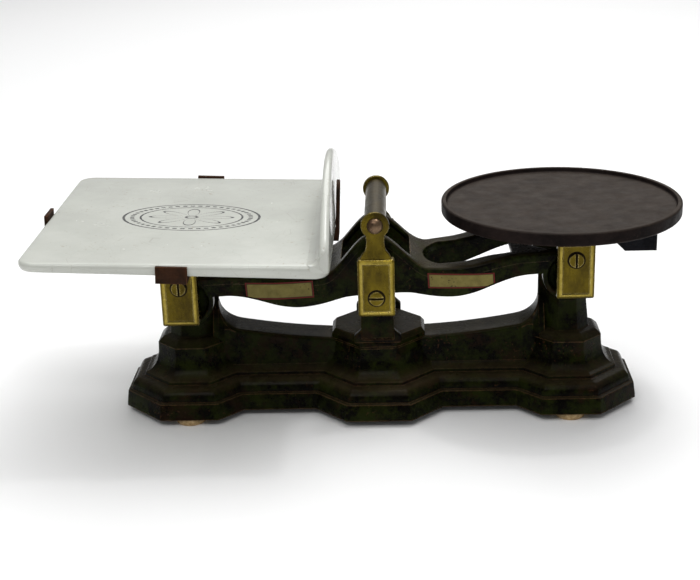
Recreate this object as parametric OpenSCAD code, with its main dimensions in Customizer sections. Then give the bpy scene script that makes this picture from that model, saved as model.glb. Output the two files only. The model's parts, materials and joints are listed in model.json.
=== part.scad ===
// Equal-arm counter scale: a cast base, a forked beam on three knife edges,
// two upright carriers kept vertical by a check link inside the base,
// a glazed plate for the goods and a flat iron pan for the weights.
// X runs along the beam, Y from front to back, Z up. The origin is on the
// floor under the middle of the whole scale. The beam is drawn resting with
// the goods side down.

/* [Swing] */
// Distance from the centre knife edge to each end knife edge
arm = 203.2; // [198:0.1:208]
// Height of the level knife edges above the casting's underside
knife_h = 147; // [144:0.5:152]
// Angle of the resting beam, goods side down
rest_tilt = 3.15; // [2.5:0.05:3.3]
// Height of the check link's centre above the casting's underside
link_h = 22; // [21:0.5:24]

/* [Base casting] */
// Height of the four feet
foot_h = 7.5; // [5:0.5:9]
// Radius of each foot
foot_r = 15.7; // [12:0.1:17]
// Distance of the feet from the centre along the beam
foot_x = 202; // [196:1:208]
// Distance of the feet from the middle, front to back
foot_y = 58; // [52:1:59]
// Half length of the plinth
plinth_x = 275.2; // [272:0.1:280]
// Half depth of the plinth at its end bulges
end_y = 74.8; // [73:0.1:78]
// Half depth of the plinth at its middle bulge
mid_y = 83.8; // [81:0.1:86]
// Half depth of the plinth at its two waists
waist_y = 49.8; // [48:0.1:52]
// Half width of the middle bulge's front face
mid_x = 34; // [30:0.5:36]
// Distance from the centre to the middle of each end bulge's front face
bulge_x = 201.6; // [200:0.1:203]
// Half width of each end bulge's front face
bulge_w = 30.8; // [28:0.1:32]
// Height of the upright face of the plinth
plinth_h = 17.5; // [15:0.5:19]
// Thickness of the casting's outer walls
shell = 7; // [5:0.5:8]
// Half thickness of the saddle wall between the columns
saddle_y = 20; // [19:0.5:22]
// Height of the saddle wall beside the middle pedestal
saddle_h = 69.5; // [67:0.5:72]
// Distance from the centre to the inner face of each column
column_x = 172; // [170:0.5:174]
// Radius of the curve from the saddle wall up to a column
saddle_r = 28; // [22:1:32]
// Radius of the well for a leg in each column
well_r = 13; // [12:0.1:13.5]
// Half width of the two fulcrum stands
stand_x = 17; // [16:0.1:17.5]
// Height of the flat top of the middle pedestal
pad_h = 79.5; // [78:0.5:82]

/* [Beam] */
// Half depth of the beam at its hump
hump_y = 45; // [43:0.5:46]
// Height of the humps' top above the knife edge
hump_top = 46; // [44:0.5:48]
// Half depth of the beam at its forks
fork_y = 60; // [59:0.1:60.5]
// Radius of the opening of a fork, about its carrier
fork_gap = 49; // [47:0.5:51]
// Thickness of a bar's outer web
web = 12; // [10:0.5:13]
// Thickness of the beam's top flange
flange = 9; // [7:0.5:10]
// Radius of the boss round an end knife
boss_r = 26.5; // [25:0.1:27]
// Width of the rim of that boss
boss_rim = 5; // [4:0.1:6]

/* [Knives and bearings] */
// Half width of a knife's body
knife_w = 5; // [4:0.1:5.5]
// Height of a knife's body from its edge to its back
knife_d = 15; // [13:0.5:16]
// Half width of a bearing block
bearing_w = 9; // [8:0.1:10]
// Gap between a knife edge and the bottom of its groove
edge_gap = 0.1; // [0.1:0.05:0.3]

/* [Brass covers and handle] */
// Half depth of the scale over the brass covers
cover_y = 74; // [73:0.1:76]
// Depth of the side walls of a cover
cover_d = 12.5; // [12:0.1:13]
// Thickness of a cover's face
cover_t = 3; // [2.5:0.1:3.5]
// Thickness of a cover's side walls
cover_wall = 2.5; // [2:0.1:3]
// Width of a cover
cover_w = 38; // [37:0.5:40]
// Height of a cover's box
cover_h = 61.5; // [60:0.5:62.5]
// Drop of the centre covers' lower edge below the knife edge
centre_drop = 33.4; // [31:0.2:35]
// Drop of the end covers' lower edge below the knife edge
cover_drop = 28.9; // [28:0.1:30]
// Distance from a cover's edge to its screw
screw_in = 20; // [19:0.5:21]
// Radius of a cover screw's head
head_r = 8; // [7:0.1:8.5]
// Gap between the humps of the beam and the handle rod
handle_gap = 6.3; // [5:0.1:10]
// Radius of the handle rod
handle_r = 11.3; // [10:0.1:12]
// Radius of the two ears that hold the rod
ear_r = 14.5; // [14:0.1:15.5]
// Thickness of an ear
ear_t = 4; // [3.5:0.1:5]

/* [Carriers] */
// Half width of a lug that hangs in front of a fork
lug_x = 14.5; // [13:0.1:15]
// Radius of the hub under a carrier's crown
hub_r = 25; // [22:0.5:27]
// Height of the underside of that hub above the knife edge
hub_low = 11; // [9:0.5:13]
// Height of the crown's underside above the knife edge
crown_low = 22; // [21:0.5:24]
// Height of the crown's top above the knife edge
crown_top = 36; // [35.5:0.5:38]
// Distance of the pan and plate from their knife edge, towards the centre
load_in = 8.5; // [6:0.5:10]
// Radius of a leg
leg_r = 6; // [5:0.1:7]

/* [Goods plate] */
// Length of the goods plate along the beam
plate_x = 303; // [290:1:306]
// Depth of the goods plate, front to back
plate_y = 313; // [300:1:320]
// Thickness of the plate at its low edge
plate_t = 9.5; // [8:0.5:11]
// Angle between the plate's top and its underside
plate_wedge = 0.9; // [0.5:0.1:1.2]
// Slope of the plate's top towards the centre
plate_slope = 1.8; // [1:0.1:2.5]
// Height of the hub that raises the arms above the goods carrier
goods_riser = 12.9; // [10:0.1:16]
// Thickness of the arms under the plate
goods_arm_t = 6; // [5:0.5:8]
// Width of the arms under the plate
goods_arm_w = 30.5; // [26:0.5:34]
// Height of the upstand above the plate at its middle
upstand_h = 72; // [65:1:78]
// Height of the upstand above the plate at its ends
upstand_end = 14; // [10:1:20]
// Thickness of the upstand at its foot
upstand_t = 11.5; // [10:0.5:13]
// Radius of the plate's corners
corner_r = 18; // [14:1:24]

/* [Weight pan] */
// Radius of the weight pan
pan_r = 125; // [120:1:127]
// Height of the pan's rim
pan_h = 13.5; // [12:0.5:15]
// Thickness of the pan's rim
rim_t = 5; // [4:0.5:6]
// Depth of the pan's recess below the rim
recess = 5; // [4:0.5:6]
// Thickness of the pan's floor
floor_t = 4.5; // [4:0.5:5.5]
// Thickness of the arms under the pan
pan_arm_t = 8; // [6:0.5:9]
// Width of the arms under the pan
pan_arm_w = 24; // [20:0.5:28]

/* [Balance box] */
// Length of the balance box along the beam
box_x = 45; // [40:1:48]
// Depth of the balance box, front to back
box_y = 34; // [30:1:38]
// Height of the balance box
box_z = 33.5; // [28:0.5:36]
// Distance from the knife edge to the balance box
box_out = 46; // [44:0.5:48]
// Thickness of the balance box's walls
box_wall = 3; // [2.5:0.5:4]

/* [Hidden] */
$fn = 64;
enamel = [0.10, 0.12, 0.09];
iron = [0.24, 0.17, 0.15];
brass = [0.66, 0.60, 0.28];
steel = [0.55, 0.54, 0.50];

goods = -1;
weights = 1;
sides = [-1, 1];
play = 0.1;
run = 1.5;
eps = 0.01;
knife_z = foot_h + knife_h;
rise = arm * sin(rest_tilt);
reach = arm * cos(rest_tilt);
miter = tan(22.5);
lug_y = fork_y + run;
face_y = cover_y - cover_t;
back_y = cover_y - cover_d;
clip_t = 3.5;
clip_gap = 0.5;
under_tilt = plate_slope + plate_wedge;

// Ends of the scale, measured from the centre knife edge, and the middle between them
goods_end = -reach + load_in - (plate_x / 2 + clip_gap + clip_t) * cos(under_tilt) - goods_arm_t * sin(under_tilt);
weights_end = reach - load_in + pan_r;
knife_x = -(goods_end + weights_end) / 2;

// Places what stands on the feet; x is measured from the centre knife edge
module on_base() {
    translate([knife_x, 0, foot_h]) children();
}

// Places what turns with the beam; z is measured from the knife edges
module on_beam() {
    translate([knife_x, 0, knife_z]) rotate([0, -rest_tilt, 0]) children();
}

// Places what stays upright at one end; x points outwards from the knife edge
module at_end(side) {
    translate([knife_x + side * reach, 0, knife_z + side * rise])
        mirror([side < 0 ? 1 : 0, 0, 0]) children();
}

// Draws a shape at the front and mirrored at the back
module front_and_back() {
    children();
    mirror([0, 1, 0]) children();
}

// Extrudes an outline drawn in X and Z from y0 back to y1
module slab_y(y0, y1) {
    translate([0, y1, 0]) rotate([90, 0, 0]) linear_extrude(y1 - y0) children();
}

// Box given by its two corners
module box(low, high) {
    translate(low) cube(high - low);
}

// Extrudes an outline drawn in Y and Z from x0 out to x1
module slab_x(x0, x1) {
    translate([x0, 0, 0]) rotate([90, 0, 90]) linear_extrude(x1 - x0) children();
}

// Cylinder along Y from y0 back to y1
module rod_y(r, y0, y1) {
    translate([0, y1, 0]) rotate([90, 0, 0]) cylinder(r = r, h = y1 - y0);
}

// Joins closed outlines of as many points each, lowest first; each is the same
// from front to back, so its first point mirrors its last
module loft(rings, heights) {
    n = len(rings[0]);
    last = len(rings) - 1;
    points = [for (k = [0:last]) for (p = rings[k]) [p[0], p[1], heights[k]]];
    walls = [for (k = [0:last - 1]) for (i = [0:n - 1]) let (j = (i + 1) % n)
        each [[k * n + i, k * n + n + i, k * n + n + j], [k * n + i, k * n + n + j, k * n + j]]];
    ladder = [for (i = [0:n / 2 - 2]) [i, i + 1, n - 2 - i, n - 1 - i]];
    under = [for (q = ladder) each [[q[0], q[1], q[2]], [q[0], q[2], q[3]]]];
    over = [for (t = under) [for (k = [2:-1:0]) last * n + t[k]]];
    polyhedron(points = points, faces = concat(under, over, walls));
}

function flip(points, sx, sy) = [for (p = points) [sx * p[0], sy * p[1]]];
function reverse(points) = [for (k = [len(points) - 1:-1:0]) points[k]];
function all_round(q) = concat(reverse(q), flip(q, -1, 1), reverse(flip(q, -1, -1)), flip(q, 1, -1));
function blend(a, b, t) = a + (b - a) * (1 - cos(180 * min(1, max(0, t)))) / 2;

// Plan of the plinth, drawn in by i all round
function plinth_plan(i) = all_round([
    [mid_x - miter * i, mid_y - i],
    [mid_x + mid_y - waist_y - miter * i, waist_y - i],
    [bulge_x - bulge_w - end_y + waist_y + miter * i, waist_y - i],
    [bulge_x - bulge_w + miter * i, end_y - i],
    [bulge_x + bulge_w - miter * i, end_y - i],
    [plinth_x - i, end_y - plinth_x + bulge_x + bulge_w - miter * i]]);

// Plan of a column, drawn in by i on its outer faces
function column_plan(i, inner = column_x) = let (
    q = [[bulge_x + bulge_w - miter * i, end_y - i],
        [plinth_x - i, end_y - plinth_x + bulge_x + bulge_w - miter * i]],
    y = end_y - i - (bulge_x - bulge_w + miter * i - inner),
    p = [[bulge_x - bulge_w + miter * i, end_y - i], [inner, max(2, y)]])
    concat(reverse(q), p, reverse(flip(p, 1, -1)), flip(q, 1, -1));

// Plan of the pedestal, drawn in by i at the front and by e at the sides
function pedestal_plan(i, e) = all_round([
    [mid_x - miter * i, mid_y - i],
    [pedestal_x - e, mid_y - i - (pedestal_x - e - mid_x + miter * i)]]);

pedestal_x = 50;
block_in = 36.5;
block_h = plinth_h + 50;
plinth_steps = [[0, 0], [2, plinth_h], [6, plinth_h + 0.5], [6.6, plinth_h + 4.5], [8.2, plinth_h + 8.5],
    [12.3, plinth_h + 12.5], [20.5, plinth_h + 14.2], [21, plinth_h + 17.5], [27, plinth_h + 20],
    [32, plinth_h + 26], [34.5, plinth_h + 32.5], [36, plinth_h + 39.5], [block_in, block_h]];
stop_gap = 0.3;
column_top = knife_h - rise + hub_low - stop_gap;
column_steps = [[block_in, block_h - 10], [block_in, block_h], [38, block_h + 1.8], [41.5, block_h + 5],
    [44, block_h + 6.5], [49.5, block_h + 7.5], [52.5, block_h + 37.5], [52.5, column_top]];
pad_steps = [[block_in, 0, block_h - 10], [block_in, 0, pad_h - 10.5], [35.5, 0, pad_h - 10],
    [35.5, 0, pad_h - 5], [40, 4, pad_h]];

// Rim of the saddle wall: a rising line, then the curve up the column
function rim_z(x) = saddle_h + 0.05 * (x - pedestal_x) + 0.00065 * pow(x - pedestal_x, 2);
curve_x = column_x - saddle_r * (1 - sin(10));
curve_z = rim_z(curve_x) + saddle_r * cos(10);
rim = concat([for (x = [pedestal_x - 6:12:curve_x - 6]) [x, rim_z(x)]],
    [for (a = [-80:10:-10]) [column_x - saddle_r + saddle_r * cos(a), curve_z + saddle_r * sin(a)]],
    [[column_x, curve_z]]);

// Stand that carries a fulcrum bearing, seen from the end of the scale
stand_y = hump_y + 3;
handle_h = knife_h + hump_top + handle_r + handle_gap;
cover_low = knife_h - centre_drop;
stand_top = knife_h + 5;
pocket_h = 8;
stand_side = [[40, block_h - 4], [mid_y - 35.5, pad_h - 9], [49.5, pad_h - 4], [54, pad_h + 1.5],
    [60, pad_h + 5], [back_y, pad_h + 9], [back_y, stand_top], [stand_y, stand_top],
    [stand_y, pad_h + 14], [46.5, pad_h + 7], [43, pad_h + 2], [40, pad_h - 2]];
stand_foot = [[-25, pad_h - 12], [25, pad_h - 12], [25, pad_h + 5], [21.5, pad_h + 7], [18.7, pad_h + 10],
    [stand_x, pad_h + 15], [-stand_x, pad_h + 15], [-18.7, pad_h + 10], [-21.5, pad_h + 7], [-25, pad_h + 5]];

cheek_y = [4.5, 12];
pin_r = 3;
shank_r = 2.5;
stand_screw = 8;
foot_pad = 12;
foot_spigot = 6;

module column_body() {
    loft([for (s = column_steps) column_plan(s[0])], [for (s = column_steps) s[1]]);
}

module saddle_wall() {
    low = plinth_h + 8;
    side = concat([[0, low]], [[0, saddle_h]], rim, [[column_x + 20, curve_z], [column_x + 20, low]]);
    wall = [[-saddle_y, low], [saddle_y, low], [saddle_y, saddle_h + 12], [5, curve_z + 1],
        [-5, curve_z + 1], [-saddle_y, saddle_h + 12]];
    for (s = [0, 1]) mirror([s, 0, 0]) intersection() {
        slab_y(-saddle_y, saddle_y) polygon(side);
        slab_x(0, column_x + 30) polygon(wall);
    }
}

module fulcrum_stand() {
    slab_x(-stand_x, stand_x) polygon(stand_side);
    intersection() {
        slab_x(-26, 26) polygon(stand_side);
        slab_y(38, stand_y + 5) polygon(stand_foot);
    }
}

module base_cavity() {
    low = plinth_h + 1;
    loft([plinth_plan(shell + 1), plinth_plan(shell + 1), plinth_plan(shell + 7), plinth_plan(shell + 13),
        plinth_plan(shell + 21), plinth_plan(shell + 27), plinth_plan(shell + 32)],
        [-1, low - 5, low + 0.5, low + 7, low + 12, low + 18, low + 30]);
    loft([pedestal_plan(block_in + shell + 1, shell), pedestal_plan(block_in + shell + 1, shell)],
        [low + 10, pad_h - shell - 2]);
    box([-column_x + 12, -saddle_y + shell, low], [column_x - 12, saddle_y - shell, saddle_h - shell]);
    for (s = sides) {
        translate([s * reach, 0, -1]) cylinder(r = well_r, h = column_top + 2);
        mirror([s < 0 ? 1 : 0, 0, 0])
            loft([column_plan(block_in + shell + 1, column_x + 5), column_plan(block_in + shell + 1, column_x + 5)],
                [low + 10, block_h - shell]);
    }
}

module base_casting() color(enamel) on_base() {
    difference() {
        union() {
            difference() {
                union() {
                    loft([for (s = plinth_steps) plinth_plan(s[0])], [for (s = plinth_steps) s[1]]);
                    loft([for (s = pad_steps) pedestal_plan(s[0], s[1])], [for (s = pad_steps) s[2]]);
                    saddle_wall();
                    column_body();
                    mirror([1, 0, 0]) column_body();
                }
                base_cavity();
            }
            front_and_back() fulcrum_stand();
            front_and_back() box([-9, cheek_y[0], link_h - 9], [9, cheek_y[1], pad_h - shell]);
            front_and_back() for (s = sides) translate([s * foot_x, foot_y, 0]) {
                cylinder(r = foot_r + 0.5, h = foot_pad);
                box([-4, 0, 0], [4, end_y - foot_y - 4, foot_pad]);
            }
        }
        translate([0, 0, link_h]) rod_y(pin_r, -20, 20);
        front_and_back() {
            box([-bearing_w, stand_y - 1, knife_h - pocket_h], [bearing_w, back_y + 1, stand_top + 1]);
            translate([0, 0, cover_low + screw_in]) rod_y(shank_r + play, back_y - stand_screw, back_y + 1);
            for (s = sides) translate([s * foot_x, foot_y, -1]) cylinder(r = 4 + play, h = foot_spigot + 1.5);
        }
    }
}

module feet() color([0.55, 0.42, 0.28]) on_base() front_and_back() for (s = sides)
    translate([s * foot_x, foot_y, -foot_h]) {
        cylinder(r = foot_r, h = foot_h);
        cylinder(r = 4, h = foot_h + foot_spigot);
    }

// Bearing block with a groove for a knife edge, its edge line at z = 0
module bearing(y0, y1, low, high) {
    difference() {
        box([-bearing_w, y0, low], [bearing_w, y1, high]);
        slab_y(y0 - 1, y1 + 1) polygon([[0, -edge_gap], [high + 1 + edge_gap, high + 1], [-high - 1 - edge_gap, high + 1]]);
    }
}

module centre_bearings() color(steel) on_base() translate([0, 0, knife_h]) front_and_back()
    bearing(stand_y, back_y, -pocket_h, 5);

module link_pin() color(steel) on_base() translate([0, 0, link_h]) rod_y(pin_r, -cheek_y[1] - 1, cheek_y[1] + 1);

// Brass covers, drawn at the back, from z = 0 at the lower edge
panel_in = 5;
panel_d = 1;

module cover_shell() {
    difference() {
        box([-cover_w / 2, back_y, 0], [cover_w / 2, cover_y, cover_h]);
        box([-cover_w / 2 + cover_wall, back_y - 1, cover_wall], [cover_w / 2 - cover_wall, face_y, cover_h - cover_wall]);
        box([-cover_w / 2 + panel_in, cover_y - panel_d, panel_in], [cover_w / 2 - panel_in, cover_y + 1, cover_h - panel_in]);
    }
}

module end_cover() difference() {
    cover_shell();
    translate([0, 0, cover_h - screw_in]) rod_y(shank_r + play, back_y, cover_y + 1);
}

ear_low = cover_h - 14;
neck_x = 9.5;
spigot_r = 6;

module centre_cover() translate([0, 0, cover_low]) difference() {
    union() {
        cover_shell();
        translate([0, 0, screw_in]) rod_y(6, back_y, face_y + 1);
        intersection() {
            slab_y(face_y - ear_t, face_y) union() {
                polygon([[-cover_w / 2 + 0.5, cover_h - 3], [-cover_w / 2 + 0.5, ear_low], [cover_w / 2 - 0.5, ear_low],
                    [cover_w / 2 - 0.5, cover_h - 3], [14, cover_h + 5], [neck_x + 1, cover_h + 10],
                    [neck_x, cover_h + 17], [neck_x, handle_h - cover_low], [-neck_x, handle_h - cover_low],
                    [-neck_x, cover_h + 17], [-neck_x - 1, cover_h + 10], [-14, cover_h + 5]]);
                translate([0, handle_h - cover_low]) circle(ear_r);
            }
        }
    }
    translate([0, 0, screw_in]) rod_y(shank_r + play, back_y - 1, cover_y + 1);
    translate([0, 0, handle_h - cover_low]) rod_y(spigot_r + play, face_y - ear_t - 1, cover_y);
}

module centre_cover_front() color(brass) on_base() mirror([0, 1, 0]) centre_cover();
module centre_cover_back() color(brass) on_base() centre_cover();

// Slotted screw that holds a cover, its axis at z = 0, with the slot turned by angle
module cover_screw(depth, angle) {
    head = cover_y - panel_d;
    rod_y(shank_r, depth, head + 1);
    difference() {
        rod_y(head_r, head, head + 2.5);
        rotate([0, angle, 0]) box([-0.9, head + 1.4, -head_r - 1], [0.9, head + 4, head_r + 1]);
    }
}

module centre_cover_screws() color(brass) on_base() translate([0, 0, cover_low + screw_in])
    front_and_back() cover_screw(back_y - stand_screw + 0.5, 90);

module handle_rod() color(steel) on_base() translate([0, 0, handle_h]) {
    rod_y(handle_r, -face_y + ear_t, face_y - ear_t);
    rod_y(spigot_r, -face_y - 2, face_y + 2);
}

cap_r = 8.3;
cap_h = 6;

module handle_caps() color(steel) on_base() translate([0, 0, handle_h]) front_and_back() difference() {
    translate([0, face_y, 0]) rotate([-90, 0, 0]) rotate_extrude() polygon(concat([[0, 0], [cap_r, 0]],
        [for (a = [0:15:75]) [cap_r * cos(a), 1.5 + (cap_h - 1.5) * sin(a)]], [[0, cap_h]]));
    rod_y(spigot_r + play, face_y - 1, face_y + 2.1);
}

// Beam: top and bottom edges by distance from the centre, from the knife edges
waist_top = 7.5;
end_top = 18.5;
hump_low = -19.5;
waist_low = -24.2;
end_low = -4.4;
hump_half = 56;
boss_x = arm - 6;

function top_z(x) = waist_top + (hump_top - waist_top) * (1 + cos(180 * min(1, x / hump_half))) / 2
    + blend(0, end_top - waist_top, (x - 76) / (0.77 * arm - 76));
function low_z(x) = x < 70 ? blend(hump_low, waist_low, (x - 20) / 50)
    : blend(waist_low, end_low, (x - 74) / (0.78 * arm - 74));
function splay(x) = let (u = min(1, max(0, (x - 35) / 70)))
    hump_y + (fork_y - hump_y) * (u + sin(90 * u)) / 2;

span = [0, 8, 16, 24, 32, 40, 48, 56, 66, 76, 88, 100, 112, 124, 136, 148, 160];
plan_x = [35, 45, 56, 67, 78, 90, 105];

module beam_side() {
    upper = concat([for (x = span) [x, top_z(x)]], [[boss_x, end_top]]);
    lower = concat([for (x = span) [x, low_z(x)]], [[boss_x, end_low]]);
    polygon(concat(upper, flip(reverse(lower), 1, 1)));
    translate([boss_x, end_top - boss_r]) circle(boss_r);
}

module flange_side() {
    polygon(concat([for (x = span) [x, top_z(x)]], [[boss_x, end_top], [boss_x, end_top - flange]],
        [for (x = reverse(span)) [x, top_z(x) - flange]]));
}

module web_plan() {
    outer = concat([[0, hump_y]], [for (x = plan_x) [x, splay(x)]], [[boss_x + boss_r + 1, fork_y]]);
    polygon(concat(outer, [for (p = reverse(outer)) [p[0], p[1] - web]]));
}

module deck_plan() {
    outer = concat([[0, hump_y]], [for (x = plan_x) [x, splay(x)]], [[boss_x, fork_y]]);
    window = [[50, 0], [51, 11], [54, 20], [59, 29], [66, hump_y - 9], [85, hump_y - 9], [96, hump_y - 7],
        [116, hump_y - 7], [131, hump_y - 2], [141, hump_y], [141, 0]];
    difference() {
        polygon(concat(outer, [[boss_x, -1], [0, -1]]));
        square([36, hump_y - web]);
        translate([0, -1]) square([36, 3]);
        polygon(concat([[50, -2]], window, [[141, -2]]));
        translate([arm, 0]) circle(fork_gap);
    }
}

module knife(up) {
    slope = knife_w / tan(32);
    polygon([[0, 0], [knife_w, -up * slope], [knife_w, -up * knife_d], [-knife_w, -up * knife_d], [-knife_w, -up * slope]]);
}

module quarter_beam() {
    intersection() {
        slab_y(0, fork_y + 1) beam_side();
        translate([0, 0, -50]) linear_extrude(110) web_plan();
    }
    intersection() {
        slab_y(-eps, fork_y + 1) flange_side();
        translate([0, 0, -50]) linear_extrude(110) deck_plan();
    }
}

stud_in = fork_y - 14;
stud_out = face_y - 2;
dish = 6;

module beam() color(enamel) on_beam() difference() {
    for (a = [0, 1]) for (b = [0, 1]) mirror([a, 0, 0]) mirror([0, b, 0]) quarter_beam();
    front_and_back() for (s = sides) {
        translate([s * boss_x, 0, end_top - boss_r]) rod_y(boss_r - boss_rim, fork_y - dish, fork_y + 1);
        translate([s * arm, 0, 0]) slab_y(stud_in - 4, fork_y + 1) knife(1);
    }
    slab_y(-fork_y, fork_y) knife(-1);
}

module centre_knife() color(steel) on_beam() slab_y(-fork_y, fork_y) knife(-1);

module end_knives(s) color(steel) on_beam() translate([s * arm, 0, 0]) front_and_back()
    slab_y(stud_in, stud_out) knife(1);

module goods_knives() end_knives(goods);
module weights_knives() end_knives(weights);

// Check link inside the base, level with the beam at every angle
eye_r = 7;
link_t = 6;
link_w = 5;

module check_link() color(iron) on_base() translate([0, 0, link_h]) rotate([0, -rest_tilt, 0]) difference() {
    slab_y(-link_t / 2, link_t / 2) union() {
        square([2 * arm, 2 * link_w], center = true);
        circle(eye_r + 2);
        for (s = sides) translate([s * arm, 0]) circle(eye_r);
    }
    rod_y(pin_r + 0.05, -10, 10);
    for (s = sides) translate([s * arm, 0, 0]) rod_y(shank_r + play, -10, 10);
}

// Carrier: a crown over the fork with a hub below it and a lug at each end
lug_low = -4;
lug_top = cover_h - cover_drop - cover_wall - 0.3;
bearing_top = 7;
lip_low = cover_h - cover_drop + 0.3;
lug_screw = 8;
leg_in = 14;
bolt_r = 4;
bolt_in = 6;

module carrier() difference() {
    union() {
        box([-stand_x, -lug_y, crown_low], [stand_x, lug_y, crown_top]);
        translate([0, 0, hub_low]) cylinder(r = hub_r, h = crown_low - hub_low + 2);
        front_and_back() {
            box([-lug_x, lug_y, lug_low], [lug_x, face_y, lug_top]);
            box([-lug_x, lug_y - 3, crown_low + 1], [lug_x, face_y - 1, lug_top - 0.5]);
            box([-stand_x, lug_y - 3, lip_low], [stand_x, face_y - 1.5, crown_top]);
        }
    }
    translate([0, 0, hub_low - 1]) cylinder(r = leg_r + 0.05, h = leg_in + 1);
    translate([0, 0, crown_top - bolt_in]) cylinder(r = bolt_r + play, h = bolt_in + 1);
    front_and_back() {
        box([-bearing_w, lug_y - 1, lug_low - 1], [bearing_w, face_y + 1, bearing_top]);
        translate([0, 0, cover_h - cover_drop - screw_in]) rod_y(shank_r + play, face_y - lug_screw, face_y + 1);
    }
}

module end_bearings(s) color(steel) at_end(s) front_and_back() mirror([0, 0, 1])
    bearing(lug_y, face_y, -bearing_top, -lug_low);

pin_low = link_h - knife_h;
clevis_r = 9;

module leg() difference() {
    union() {
        translate([0, 0, pin_low]) cylinder(r = leg_r, h = hub_low - pin_low + leg_in);
        translate([0, 0, pin_low - eye_r - 2]) cylinder(r = clevis_r, h = 2 * eye_r + 10);
    }
    box([-20, -link_t / 2 - 0.6, pin_low - 20], [20, link_t / 2 + 0.6, pin_low + eye_r + 2]);
    translate([0, 0, pin_low]) rod_y(shank_r, -20, 20);
}

module leg_pin(s) color(steel) at_end(s) translate([0, 0, pin_low]) rod_y(shank_r, -clevis_r, clevis_r);
module end_cover_at(s, back) color(brass) at_end(s) mirror([0, back ? 0 : 1, 0])
    translate([0, 0, -cover_drop]) end_cover();
module end_cover_screws(s) color(brass) at_end(s) translate([0, 0, cover_h - cover_drop - screw_in])
    front_and_back() cover_screw(face_y - lug_screw + 0.5, 0);

module goods_carrier() color(enamel) at_end(goods) carrier();
module weights_carrier() color(enamel) at_end(weights) carrier();
module goods_bearings() end_bearings(goods);
module weights_bearings() end_bearings(weights);
module goods_leg() color(iron) at_end(goods) leg();
module weights_leg() color(iron) at_end(weights) leg();
module goods_leg_pin() leg_pin(goods);
module weights_leg_pin() leg_pin(weights);
module goods_cover_front() end_cover_at(goods, false);
module goods_cover_back() end_cover_at(goods, true);
module weights_cover_front() end_cover_at(weights, false);
module weights_cover_back() end_cover_at(weights, true);
module goods_cover_screws() end_cover_screws(goods);
module weights_cover_screws() end_cover_screws(weights);

// Cross under the goods plate, with a clip at the end of each arm
clip_h = 13.5;
front_clip_h = 11;
back_clip_h = 56.5;
upstand_lean = 2.7;
face_draft = 0.2;
goods_top = crown_top + goods_riser + goods_arm_t;
cross_hub = 18;
hole_r = 8;
bolt_head_r = 7.5;
bolt_head_h = 4;

// Places what lies on the goods arms; z = 0 is the arms' top
module on_goods_arms() {
    translate([-load_in, 0, goods_top]) rotate([0, -under_tilt, 0]) children();
}

module goods_cross() color(iron) at_end(goods) difference() {
    union() {
        on_goods_arms() {
            box([-plate_x / 2 - clip_gap - clip_t, -goods_arm_w / 2, -goods_arm_t],
                [plate_x / 2 + clip_gap + clip_t, goods_arm_w / 2, 0]);
            box([-goods_arm_w / 2, -plate_y / 2 - clip_gap - clip_t, -goods_arm_t],
                [goods_arm_w / 2, plate_y / 2 + clip_gap + clip_t, 0]);
            box([-goods_arm_w / 2, plate_y / 2 + clip_gap, -goods_arm_t],
                [goods_arm_w / 2, plate_y / 2 + clip_gap + clip_t, clip_h]);
            box([-goods_arm_w / 2, -plate_y / 2 - clip_gap - clip_t, -goods_arm_t],
                [goods_arm_w / 2, -plate_y / 2 - clip_gap, front_clip_h]);
            box([plate_x / 2 + clip_gap, -goods_arm_w / 2, -goods_arm_t],
                [plate_x / 2 + clip_gap + clip_t, goods_arm_w / 2, clip_h]);
            translate([-plate_x / 2 - clip_gap, 0, 0]) slab_x(-clip_t, 0) union() {
                translate([-goods_arm_w / 2, -goods_arm_t]) square([goods_arm_w, back_clip_h + goods_arm_t - goods_arm_w / 2]);
                translate([0, back_clip_h - goods_arm_w / 2]) circle(goods_arm_w / 2);
            }
        }
        translate([0, 0, crown_top]) cylinder(r = cross_hub, h = goods_top - crown_top - 2);
    }
    translate([0, 0, crown_top - 1]) cylinder(r = bolt_r + play, h = 40);
    translate([0, 0, goods_top - bolt_head_h]) cylinder(r = hole_r, h = 20);
}

// Bolt that holds a cross down on its carrier, with its head sunk in the cross
module cross_bolt(top) {
    translate([0, 0, crown_top - bolt_in + 0.5]) cylinder(r = bolt_r, h = top - bolt_head_h - crown_top + bolt_in);
    difference() {
        translate([0, 0, top - bolt_head_h]) cylinder(r = bolt_head_r, h = bolt_head_h - 0.8);
        box([-bolt_head_r - 1, -0.9, top - 2], [bolt_head_r + 1, 0.9, top + 1]);
    }
}

module goods_cross_bolt() color(steel) at_end(goods) cross_bolt(goods_top);

// Goods plate: a wedge with round corners and an arched upstand at its low end
module goods_plate() color([0.84, 0.82, 0.74]) at_end(goods) on_goods_arms() {
    hx = plate_x / 2;
    hy = plate_y / 2;
    drop = plate_x * tan(plate_wedge);
    intersection() {
        slab_y(-hy, hy) polygon([[-hx, 0], [hx, 0], [hx, plate_t], [-hx, plate_t + drop]]);
        translate([0, 0, -1]) linear_extrude(plate_t + drop + 20) union() {
            square([plate_x - 2 * corner_r, plate_y], center = true);
            square([plate_x, plate_y - 2 * corner_r], center = true);
            for (a = sides) for (b = sides) translate([a * (hx - corner_r), b * (hy - corner_r)]) circle(corner_r);
        }
    }
    intersection() {
        translate([-hx, 0, 0]) rotate([0, plate_wedge - face_draft, 0]) slab_x(-10, upstand_t)
            polygon(concat([[-hy, 2], [hy, 2]],
            [for (k = [10:-1:-10]) let (u = k / 10)
                [u * hy, plate_t + drop + upstand_end + (upstand_h - upstand_end) * pow(cos(90 * u), 0.8)]]));
        translate([-hx, 0, 0.5]) rotate([0, upstand_lean, 0]) slab_x(0, 60)
            polygon([[-hy + 4, 0], [hy - 4, 0], [hy - 4, 100], [-hy + 4, 100]]);
    }
}

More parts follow.
